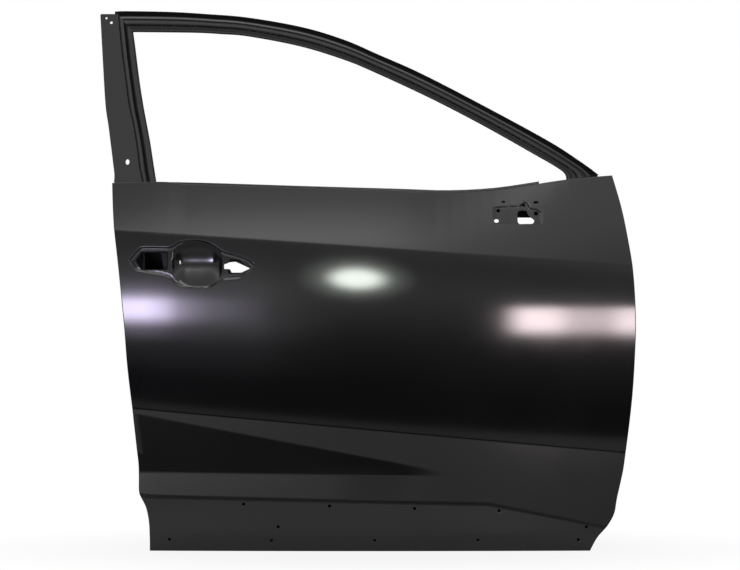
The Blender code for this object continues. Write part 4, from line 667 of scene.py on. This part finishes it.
def rounded_strip(line, thickness, radius, steps=4):
    """Outline of a bent strip with rounded bends, and the outward direction at each point."""
    line = np.array(line, float)
    mids, turns = [], []
    last = len(line) - 1
    for i, point in enumerate(line):
        before = point - line[i - 1] if i else line[1] - line[0]
        after = line[i + 1] - point if i < last else before
        a, b = before / np.linalg.norm(before), after / np.linalg.norm(after)
        if i in (0, last):
            mids.append(point)
            turns.append(a)
            continue
        half = math.acos(max(-1.0, min(1.0, float(a @ b)))) / 2
        room = 0.42 * min(np.linalg.norm(before), np.linalg.norm(after))
        bend = min(radius, room / max(math.tan(half), 1e-6))
        reach = bend * math.tan(half)
        side = 1.0 if a[0] * b[1] - a[1] * b[0] > 0 else -1.0
        centre = point - a * reach + side * bend * np.array((-a[1], a[0]))
        for k in range(steps + 1):
            angle = side * 2 * half * k / steps
            c, sn = math.cos(angle), math.sin(angle)
            direction = np.array((a[0] * c - a[1] * sn, a[0] * sn + a[1] * c))
            mids.append(centre - side * bend * np.array((-direction[1], direction[0])))
            turns.append(direction)
    mids, turns = np.array(mids), np.array(turns)
    left = np.stack([-turns[:, 1], turns[:, 0]], axis=1)
    outline = np.vstack([mids + left * thickness / 2, (mids - left * thickness / 2)[::-1]])
    facing = np.vstack([left, -left[::-1]])
    return outline, facing


def swept(name, outer, inner_side, section, facing):
    """Sweep a section, its x across from the outer to the inner edge in metres, its y in depth."""
    count = len(outer)
    across = inner_side - outer
    width = np.linalg.norm(across, axis=1)
    unit = across / width[:, None]
    share = section[:, 0] / FRAME_WIDTH
    flat = outer[:, None, :] + across[:, None, :] * share[None, :, None]
    deep = frame_plane(flat[:, :, 1]) + section[None, :, 1]
    verts = np.stack([flat[:, :, 0], deep, flat[:, :, 1]], axis=2)
    along = np.gradient(verts, axis=0)
    lean = (frame_plane(flat[:, :, 1] + 0.001) - frame_plane(flat[:, :, 1] - 0.001)) / 0.002
    tangent = np.stack([-facing[:, 1], facing[:, 0]], axis=1)
    step_across = unit[:, None, :] * tangent[None, :, :1] * (width / FRAME_WIDTH)[:, None, None]
    edge = np.stack([step_across[:, :, 0], lean * step_across[:, :, 1] + tangent[None, :, 1],
                     step_across[:, :, 1]], axis=2)
    normal = np.cross(along, edge)
    normal /= np.maximum(np.linalg.norm(normal, axis=2, keepdims=True), 1e-12)
    want = np.stack([unit[:, None, 0] * facing[None, :, 0], np.repeat(facing[None, :, 1], count, 0),
                     unit[:, None, 1] * facing[None, :, 0]], axis=2)
    flip = np.sign(np.einsum("ijk,ijk->ij", normal, want))
    normal = normal * np.where(flip == 0, 1, flip)[:, :, None]
    n = len(section)
    faces = []
    first = np.array([verts[0, 1] - verts[0, 0], verts[1, 0] - verts[0, 0]])
    turn = np.dot(np.cross(first[0], first[1]), normal[0, 0]) > 0
    for i in range(count - 1):
        for j in range(n):
            k = (j + 1) % n
            quad = (i * n + j, i * n + k, (i + 1) * n + k, (i + 1) * n + j)
            faces.append(quad if turn else quad[::-1])
    half = n // 2
    for j in range(half - 1):
        cap = (j, n - 1 - j, n - 2 - j, j + 1)
        faces.append(cap if turn else cap[::-1])
        far = tuple((count - 1) * n + v for v in cap)
        faces.append(far[::-1] if turn else far)
    piece = add_mesh(name, verts.reshape(-1, 3), faces, normal.reshape(-1, 3))
    shares = piece.data.attributes.new("across", "FLOAT", "POINT")
    shares.data.foreach_set("value", np.tile(share, count))
    return piece


section_line = [(s * FRAME_WIDTH, d * FRAME_DEPTH) for s, d in frame_section]
section, facing = rounded_strip(section_line, FRAME_SHEET, 0.0016)
header_rims = [respace(smooth(frame_at(ends + line), 0.003), count=150)
               for ends, line in ((corner[:1], header_outer), (corner[1:], header_inner))]
header = swept("window_header", *header_rims, section, facing)
drop = np.array((0.0, -0.0001))
sash_a = np.vstack([frame_at(corner)[:1] + drop, frame_at(sash_outer)])
sash_b = np.vstack([frame_at(corner)[1:] + drop, frame_at(sash_inner)])
sash = swept("window_sash", respace(smooth(sash_a, 0.003), count=70),
             respace(smooth(sash_b, 0.003), count=70), section, facing)


# Cover plate beside the sash
PILLAR_LAP, PILLAR_FLANGE = 0.008, 0.005
PILLAR_RADIUS, PILLAR_TURN = 0.0012, 0.0014
pillar_back = 0.250 * FRAME_DEPTH - FRAME_SHEET - CLEARANCE
pillar_left = smooth(frame_at(pillar_outer), 0.006)
sash_edge = smooth(np.vstack([frame_at(corner)[:1], frame_at(sash_outer)]), 0.006)[::-1]
edge_x = np.interp(pillar_left[:, 1], sash_edge[:, 1], sash_edge[:, 0]) + PILLAR_LAP
pillar_right = np.stack([edge_x, pillar_left[:, 1]], axis=1)


def pillar_depth(points):
    """The cover plate stands just in front of the sash's flange and follows the frame's lean."""
    return frame_plane(points[:, 1]) + pillar_back - FRAME_SHEET / 2


def pillar_edges(number, loop, out):
    """A flange along the rear edge, a short turn along the others, half rounds in the holes."""
    if number:
        return round_edge(pillar_depth, FRAME_SHEET)(number, loop, out)
    result = []
    for spot, way, deep in zip(loop, out, pillar_depth(loop)):
        flange = PILLAR_FLANGE + FRAME_SHEET / 2 if way[0] < -0.85 else PILLAR_TURN
        result.append(turned_edge(FRAME_SHEET, PILLAR_RADIUS, flange, spot, way, deep))
    return result


outline = np.vstack([pillar_left, pillar_right[::-1]])
outline = dense_loop(rounded(outline[::-1] if area(outline) < 0 else outline, 0.002), 0.004)
outline = outline - outward(outline) * 0.0013
holes = []
for x, z, wide, high in pillar_holes:
    spot = frame_at([(x, z)])[0]
    holes.append(ring(spot[0], spot[1], wide * FRAME_WIDTH, high * FRAME_WIDTH, 28))
rows = [(hole + outward(hole) * 0.0015, 0.001) for hole in holes]
rows.append((grid(outline.min(0), outline.max(0), 0.006), 0.003))
pillar = sheet_piece("sash_cover_plate", [outline] + holes, rows, pillar_depth, FRAME_SHEET,
                     pillar_edges)


# Plate behind the handle recess and gusset at the front corner
PLATE_SHEET, PLATE_SETBACK = 0.0016, 0.0045
FLOOR_FACE = 0.1177
plate_holes = [
    [(-2.34, 0.12), (-2.13, 0.46), (-2.08, 0.46), (-2.08, -0.22), (-2.13, -0.22)],
    [(-2.03, 0.46), (-1.165, 0.46), (-1.165, -0.22), (-2.03, -0.22)],
    [
        (1.00, 0.02), (1.21, 0.07), (1.25, 0.08), (1.48, 0.10), (2.06, -0.18), (1.91, -0.25),
        (1.75, -0.34), (1.64, -0.36), (1.31, -0.36), (1.25, -0.22), (1.00, -0.21),
    ],
]


def handle_plate_depth(points):
    return plain_depth(points[:, 0], points[:, 1]) + SKIN_SHEET + PLATE_SETBACK


low_x, high_x = RECESS[:, 0].min() + 0.002, RECESS[:, 0].max() + 0.015
low_z, high_z = RECESS[:, 1].min() - 0.015, RECESS[:, 1].max() + 0.007
plate_rim = np.array([(low_x, low_z), (high_x, low_z), (high_x, high_z), (low_x, high_z)])
plate_loops = [dense_loop(rounded(plate_rim, 0.015), 0.004),
               dense_loop(BOWL + outward(BOWL) * 0.003, 0.003)]
for hole in plate_holes:
    plate_loops.append(dense_loop(rounded(at(hole, *BOWL_SIZE, base=HANDLE), 0.0015), 0.002))
plate_points = [(grid(plate_rim[0], plate_rim[2], 0.006), 0.002)]
handle_plate = sheet_piece("handle_plate", plate_loops, plate_points, handle_plate_depth,
                           PLATE_SHEET, round_edge(handle_plate_depth, PLATE_SHEET))

GUSSET_BEND_TOP, GUSSET_BEND_RUN = 0.812, 0.035
gusset_rim = np.array([
    (0.4480, 0.7360), (0.4900, 0.7360), (0.4900, 0.7960), (0.4985, 0.8060), (0.4985, 0.8137),
    (0.4887, 0.8246), (0.4777, 0.8330), (0.4480, 0.8342),
])


def gusset_depth(points):
    """Back of the window frame above, the floor of the inner panel below."""
    z = points[:, 1]
    high = frame_plane(z) + FRAME_DEPTH + FRAME_SHEET / 2 + CLEARANCE
    share = np.clip((GUSSET_BEND_TOP - z) / GUSSET_BEND_RUN, 0, 1)
    return high * (1 - share) + (FLOOR_FACE - PLATE_SHEET) * share


gusset_points = [(grid(gusset_rim.min(0), gusset_rim.max(0), 0.004), 0.0015)]
gusset = sheet_piece("front_gusset", [dense_loop(rounded(gusset_rim, 0.003), 0.003)],
                     gusset_points, gusset_depth, PLATE_SHEET, round_edge(gusset_depth, PLATE_SHEET))


# Materials
WHITE = (1.0, 1.0, 1.0, 1.0)
WORN = (0.45, 0.44, 0.42, 1.0)


def grade(tree, value, stops):
    """A grey ramp over a value."""
    ramp = tree.nodes.new("ShaderNodeValToRGB")
    elements = ramp.color_ramp.elements
    elements[0].position, elements[1].position = stops[0][0], stops[-1][0]
    elements[0].color = (stops[0][1],) * 3 + (1.0,)
    elements[1].color = (stops[-1][1],) * 3 + (1.0,)
    for position, level in stops[1:-1]:
        elements.new(position).color = (level,) * 3 + (1.0,)
    tree.links.new(value, ramp.inputs["Fac"])
    return ramp.outputs["Color"]


def span(tree, value, low, high, to_low=0.0, to_high=1.0):
    """A value carried over from one range to another."""
    node = tree.nodes.new("ShaderNodeMapRange")
    keys = ("From Min", "From Max", "To Min", "To Max")
    for key, number in zip(keys, (low, high, to_low, to_high)):
        node.inputs[key].default_value = number
    tree.links.new(value, node.inputs["Value"])
    return node.outputs["Result"]


def mixed(tree, share, first, second):
    """Two colours mixed by a share; each is a socket or a plain colour."""
    node = tree.nodes.new("ShaderNodeMix")
    node.data_type = "RGBA"
    tree.links.new(share, node.inputs[0])
    for slot, colour in ((6, first), (7, second)):
        if isinstance(colour, tuple):
            node.inputs[slot].default_value = colour
        else:
            tree.links.new(colour, node.inputs[slot])
    return node.outputs[2]


def primer(name, colour, roughness, bump=0.04, wear=0.05, gloss=None, across=None, painted_shade_gloss=None):
    """Black primer: faint orange peel, uneven gloss, thin wear on the folds and a little dust; where
    asked, also painted shade: the gloss drops on faces turned to the outside of the door.
    """
    paint = bpy.data.materials.new(name)
    paint.use_nodes = True
    tree = paint.node_tree
    shader = tree.nodes["Principled BSDF"]
    place = tree.nodes.new("ShaderNodeTexCoord")

    def noise(scale, detail=3.0, rough=0.5):
        node = tree.nodes.new("ShaderNodeTexNoise")
        node.inputs["Scale"].default_value = scale
        node.inputs["Detail"].default_value = detail
        node.inputs["Roughness"].default_value = rough
        tree.links.new(place.outputs["Object"], node.inputs["Vector"])
        return node.outputs["Fac"]

    def add(a, b):
        node = tree.nodes.new("ShaderNodeMath")
        node.operation = "ADD"
        tree.links.new(a, node.inputs[0])
        if isinstance(b, float):
            node.inputs[1].default_value = b
        else:
            tree.links.new(b, node.inputs[1])
        return node.outputs[0]

    cloud = span(tree, noise(9.0, 4.0, 0.6), 0.3, 0.7, -0.1 * roughness, 0.14 * roughness)
    grain = span(tree, noise(420.0, 2.0), 0.3, 0.7, -0.04 * roughness, 0.06 * roughness)
    rough = add(add(cloud, grain), roughness)
    tree.links.new(rough, shader.inputs["Roughness"])
    geometry = tree.nodes.new("ShaderNodeNewGeometry")
    fold = span(tree, geometry.outputs["Pointiness"], 0.53, 0.60, 0.0, wear)
    dust = span(tree, noise(3.0, 5.0, 0.65), 0.45, 0.8, 0.0, 0.005)
    base = mixed(tree, add(fold, dust), (*colour, 1.0), WORN)
    tree.links.new(base, shader.inputs["Base Color"])
    if gloss is not None:
        shader.inputs["Specular IOR Level"].default_value = gloss
    # Painted shade: the gloss drops on faces turned to the outside of the door, which lie in shade inside
    # it
    if painted_shade_gloss:
        facing = tree.nodes.new("ShaderNodeSeparateXYZ")
        tree.links.new(geometry.outputs["True Normal"], facing.inputs[0])
        painted_shade_level = span(tree, facing.outputs["Y"], -0.3, 0.1, painted_shade_gloss, gloss)
        tree.links.new(painted_shade_level, shader.inputs["Specular IOR Level"])
    # Gloss from a ramp over the share across the piece; on the window frame its bands are painted
    # highlights and painted shade
    if across:
        share = tree.nodes.new("ShaderNodeAttribute")
        share.attribute_name = "across"
        level = grade(tree, share.outputs["Fac"], across)
        tree.links.new(level, shader.inputs["Specular IOR Level"])
    peel = tree.nodes.new("ShaderNodeBump")
    peel.inputs["Strength"].default_value = bump
    peel.inputs["Distance"].default_value = 0.0004
    tree.links.new(noise(260.0, 2.0), peel.inputs["Height"])
    tree.links.new(peel.outputs["Normal"], shader.inputs["Normal"])
    return paint


# Gloss across the frame sections, from their outer edge to the window: painted highlight lines along the
# ridges and painted shade on the flanges and grooves
frame_painted_light_bands = (
    (0.0, 0.03), (0.245, 0.03), (0.27, 0.35), (0.30, 0.62), (0.345, 0.42), (0.40, 0.10),
    (0.43, 0.12), (0.48, 0.40), (0.51, 0.20), (0.535, 0.30), (0.56, 0.60), (0.61, 0.42),
    (0.66, 0.16), (0.70, 0.22), (0.75, 0.42), (0.82, 0.24), (0.88, 0.20), (0.94, 0.48), (1.0, 0.08),
)
sash_painted_light_bands = (
    (0.0, 0.03), (0.235, 0.03), (0.26, 0.40), (0.36, 0.50), (0.47, 0.42), (0.51, 0.03),
    (0.64, 0.04), (0.69, 0.30), (0.74, 0.60), (0.80, 0.40), (0.88, 0.50), (0.95, 0.30), (1.0, 0.05),
)
BLACK = (0.0022, 0.0022, 0.0022)
skin_paint = primer("skin_primer_paint", (0.0022, 0.0022, 0.0025), 0.11, 0.02,
                    across=((0.0, 0.5), (1.0, 0.93)))
# Run channels and gusset: painted shade, their gloss drops on faces turned to the outside of the door
frame_paint = primer("frame_primer_paint", (0.0030, 0.0030, 0.0032), 0.30, 0.04,
                     gloss=0.5, painted_shade_gloss=0.05)
header_paint = primer("header_primer_paint", BLACK, 0.26, 0.04, 0.02, across=frame_painted_light_bands)
sash_paint = primer("sash_primer_paint", BLACK, 0.28, 0.04, 0.02, across=sash_painted_light_bands)
pillar_paint = primer("pillar_primer_paint", (0.0040, 0.0040, 0.0042), 0.34, 0.05, 0.02, gloss=0.42)
# Inner panel: painted shade, its gloss drops on faces turned to the outside of the door, seen through the
# openings
inner_paint = primer("inner_primer_paint", (0.0040, 0.0040, 0.0041), 0.36, 0.06,
                     gloss=0.50, painted_shade_gloss=0.02)
# Painted shade behind the handle recess: a darker copy of the primer, with little gloss on its outward
# face
painted_shade_plate_paint = primer("plate_primer_paint", (0.0012, 0.0012, 0.0012), 0.38, 0.05, 0.02,
                            gloss=0.5, painted_shade_gloss=0.06)
plate_paint = primer("bracket_primer_paint", (0.0150, 0.0150, 0.0155), 0.40, 0.10, 0.08)
belt_paint = primer("belt_primer_paint", (0.0300, 0.0300, 0.0310), 0.38, 0.08)
mastic_paint = primer("mastic_finish", (0.020, 0.020, 0.020), 0.80, 0.5, 0.0)

for piece, node, slot, paint in (
    (skin, "outer_skin", "skin_primer", skin_paint),
    (header, "upper_window_frame", "frame_primer", header_paint),
    (sash, "rear_window_sash", "frame_primer", sash_paint),
    (pillar, "pillar_sash_panel", "frame_primer", pillar_paint),
    (handle_plate, "handle_reinforcement", "bracket_primer", painted_shade_plate_paint),
    (gusset, "front_corner_gusset", "bracket_primer", frame_paint),
):
    piece.data.materials.append(paint)
    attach(piece, "root")
    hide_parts(node)

for name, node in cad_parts.items():
    if node.hide_render:
        continue
    node.data.materials.clear()
    if name.startswith("mastic"):
        node.data.materials.append(mastic_paint)
    elif name == "inner_panel":
        node.data.materials.append(inner_paint)
    elif name == "belt_reinforcement_outer":
        node.data.materials.append(belt_paint)
    elif "channel" in name:
        node.data.materials.append(frame_paint)
    else:
        node.data.materials.append(plate_paint)
    bevel = node.modifiers.new("edge_radius", "BEVEL")
    bevel.width = 0.0004
    bevel.segments = 2
    bevel.limit_method = "ANGLE"
    bevel.angle_limit = math.radians(35)


# Floor, world, lamps and camera
FLOOR_GAP = 0.0005
floor_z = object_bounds()[0].z - FLOOR_GAP


def lamp(name, place, target, size, size_z, watts, colour):
    data = bpy.data.lights.new(name, "AREA")
    data.shape = "RECTANGLE"
    data.size, data.size_y = size, size_z
    data.energy = watts
    data.color = colour
    light = bpy.data.objects.new(name, data)
    light.location = Vector(place) - Vector(ORIGIN)
    aim = Vector(target) - Vector(place)
    light.rotation_mode = "QUATERNION"
    light.rotation_quaternion = aim.to_track_quat("-Z", "Y")
    bpy.context.scene.collection.objects.link(light)
    return light


def soft_box(name, reach, left, right, foot, head, level, colour, across, up):
    """Lamp with soft edges: its light follows one ramp across and one up, or one outwards."""
    place = ((left + right) / 2, -reach, (foot + head) / 2)
    power = level * math.pi * (right - left) * (head - foot)
    soft = lamp(name, place, (place[0], 0.0, place[2]), right - left, head - foot, power, colour)
    soft.visible_camera = False
    soft.data.use_nodes = True
    tree = soft.data.node_tree
    spot = tree.nodes.new("ShaderNodeNewGeometry").outputs["Parametric"]
    strength = tree.nodes["Emission"].inputs["Strength"]
    if up is None:
        off = tree.nodes.new("ShaderNodeVectorMath")
        off.operation = "DISTANCE"
        off.inputs[1].default_value = (0.5, 0.5, 0.0)
        tree.links.new(spot, off.inputs[0])
        tree.links.new(grade(tree, off.outputs["Value"], across), strength)
        return
    split = tree.nodes.new("ShaderNodeSeparateXYZ")
    tree.links.new(spot, split.inputs[0])
    both = tree.nodes.new("ShaderNodeMath")
    both.operation = "MULTIPLY"
    tree.links.new(grade(tree, split.outputs["X"], across), both.inputs[0])
    tree.links.new(grade(tree, split.outputs["Y"], up), both.inputs[1])
    tree.links.new(both.outputs[0], strength)


soft_box("soft_left", 0.45, -0.640, -0.250, 0.380, 0.620, 28.5, (0.80, 0.72, 1.0),
         ((0.0, 1.0), (0.20, 1.0), (0.32, 0.70), (0.41, 0.28), (0.52, 0.15), (0.62, 0.08),
          (0.85, 0.03), (1.0, 0.0)),
         ((0.0, 0.0), (0.26, 0.07), (0.36, 0.40), (0.46, 0.90), (0.54, 1.0), (0.67, 1.0),
          (0.76, 0.25), (0.85, 0.05), (1.0, 0.0)))
soft_box("soft_left_halo", 0.48, -0.660, -0.060, 0.220, 0.760, 0.9, (0.95, 0.93, 1.0),
         ((0.0, 1.0), (0.62, 0.90), (0.72, 0.50), (0.85, 0.18), (1.0, 0.0)),
         ((0.0, 0.0), (0.157, 0.16), (0.213, 0.20), (0.27, 0.26), (0.324, 0.45), (0.38, 0.75),
          (0.44, 1.0), (0.68, 0.75), (0.80, 0.28), (0.92, 0.04), (1.0, 0.0)))
soft_box("soft_middle", 0.45, -0.185, 0.125, 0.546, 0.710, 26.0, (0.92, 1.0, 0.92),
         ((0.0, 1.0), (0.14, 1.0), (0.24, 0.28), (0.30, 0.07), (0.40, 0.03), (0.5, 0.0)), None)
soft_box("soft_right", 1.3, 0.430, 0.890, 0.345, 0.545, 30.0, (1.0, 0.84, 0.87),
         ((0.0, 0.1), (0.06, 0.55), (0.12, 1.0), (0.36, 0.95), (0.44, 0.52), (0.72, 0.45),
          (0.84, 0.9), (1.0, 0.9)),
         ((0.0, 0.0), (0.14, 0.4), (0.28, 1.0), (0.76, 1.0), (0.86, 0.5), (1.0, 0.0)))
lamp("top_box", (-0.1, -0.55, 3.2), (0.0, -0.3, 0.5), 2.4, 0.7, 16.0, (1.0, 1.0, 1.0))

world = bpy.data.worlds.new("studio")
bpy.context.scene.world = world
world.use_nodes = True
tree = world.node_tree
tree.nodes.clear()
direction = tree.nodes.new("ShaderNodeTexCoord")
split = tree.nodes.new("ShaderNodeSeparateXYZ")
tree.links.new(direction.outputs["Generated"], split.inputs[0])
upward = span(tree, split.outputs["Z"], -1.0, 1.0)
low_sky = (
    (0.0, 0.30), (0.20, 0.42), (0.25, 0.20), (0.30, 0.05), (0.37, 0.045), (0.42, 0.10),
    (0.456, 0.20), (0.49, 0.42), (0.526, 0.58), (0.56, 0.44), (0.59, 0.42), (0.605, 0.66),
    (0.65, 0.74),
)
rear_sky = grade(tree, upward, low_sky + (
    (0.67, 0.90), (0.703, 1.35), (0.742, 2.1), (0.765, 2.9), (0.794, 2.3), (0.828, 1.45),
    (0.872, 1.02), (0.92, 0.85), (1.0, 0.8)))
front_sky = grade(tree, upward, low_sky + (
    (0.67, 0.85), (0.703, 1.15), (0.742, 1.25), (0.765, 1.15), (0.80, 0.95), (0.90, 0.8), (1.0, 0.8)))
dim = grade(tree, span(tree, split.outputs["X"], -0.25, 0.25), (
    (0.0, 0.7), (0.18, 0.6), (0.34, 0.0), (0.56, 0.0), (0.60, 0.2), (0.68, 0.8), (0.72, 1.0),
    (1.0, 1.0)))
sky = mixed(tree, dim, rear_sky, front_sky)
studio = mixed(tree, span(tree, split.outputs["Y"], -0.05, 0.15), sky, WHITE)
rays = tree.nodes.new("ShaderNodeLightPath")
seen = mixed(tree, rays.outputs["Is Camera Ray"], studio, WHITE)
shade = tree.nodes.new("ShaderNodeBackground")
tree.links.new(seen, shade.inputs["Color"])
output = tree.nodes.new("ShaderNodeOutputWorld")
tree.links.new(shade.outputs[0], output.inputs["Surface"])

floor_mesh = bpy.data.meshes.new("floor")
corners = ((-3.5, -0.75), (2.5, -0.75), (2.5, 2.2), (-3.5, 2.2))
floor_mesh.from_pydata([(x, y, floor_z) for x, y in corners], [], [(0, 1, 2, 3)])
floor = bpy.data.objects.new("floor", floor_mesh)
bpy.context.scene.collection.objects.link(floor)

# The floor glows white for the camera; in an oval round the door the glow is a little less, a painted
# soft shade, and there the lit floor's real shadow shows through
SHADE_POOL_MIDDLE, SHADE_POOL_WIDE, SHADE_POOL_DEEP = 0.515, 1.1, 0.5
pale = bpy.data.materials.new("pale_floor")
pale.use_nodes = True
tree = pale.node_tree
shader = tree.nodes["Principled BSDF"]
shader.inputs["Base Color"].default_value = (0.27, 0.27, 0.27, 1.0)
shader.inputs["Roughness"].default_value = 0.7
glow = tree.nodes.new("ShaderNodeEmission")
glow.inputs["Strength"].default_value = 1.0
rays = tree.nodes.new("ShaderNodeLightPath")
spot = tree.nodes.new("ShaderNodeTexCoord")
shift = tree.nodes.new("ShaderNodeMapping")
shift.inputs["Location"].default_value = (SHADE_POOL_MIDDLE / SHADE_POOL_WIDE, 0.0, 0.0)
shift.inputs["Scale"].default_value = (1 / SHADE_POOL_WIDE, 1 / SHADE_POOL_DEEP, 0.0)
tree.links.new(spot.outputs["Object"], shift.inputs["Vector"])
length = tree.nodes.new("ShaderNodeVectorMath")
length.operation = "LENGTH"
tree.links.new(shift.outputs["Vector"], length.inputs[0])
fade = tree.nodes.new("ShaderNodeMapRange")
fade.interpolation_type = "SMOOTHSTEP"
for key, number in (("From Min", 0.3), ("From Max", 1.0), ("To Min", 0.88), ("To Max", 1.0)):
    fade.inputs[key].default_value = number
tree.links.new(length.outputs["Value"], fade.inputs["Value"])
half = tree.nodes.new("ShaderNodeMath")
half.operation = "MULTIPLY"
tree.links.new(fade.outputs["Result"], half.inputs[1])
tree.links.new(rays.outputs["Is Camera Ray"], half.inputs[0])
both = tree.nodes.new("ShaderNodeMixShader")
tree.links.new(half.outputs[0], both.inputs[0])
tree.links.new(shader.outputs[0], both.inputs[1])
tree.links.new(glow.outputs[0], both.inputs[2])
tree.links.new(both.outputs[0], tree.nodes["Material Output"].inputs["Surface"])
floor_mesh.materials.append(pale)

CAMERA_PLACE, CAMERA_LENS = (0.001, -4.5, 0.5742), 102.2
camera_data = bpy.data.cameras.new("camera")
camera_data.lens = CAMERA_LENS
camera_data.sensor_width = 36
camera_data.clip_end = 50
camera = bpy.data.objects.new("camera", camera_data)
camera.location = Vector(CAMERA_PLACE) - Vector(ORIGIN)
camera.rotation_euler = (math.pi / 2, 0, 0)
bpy.context.scene.collection.objects.link(camera)
bpy.context.scene.camera = camera
bpy.context.scene.view_settings.view_transform = "Standard"
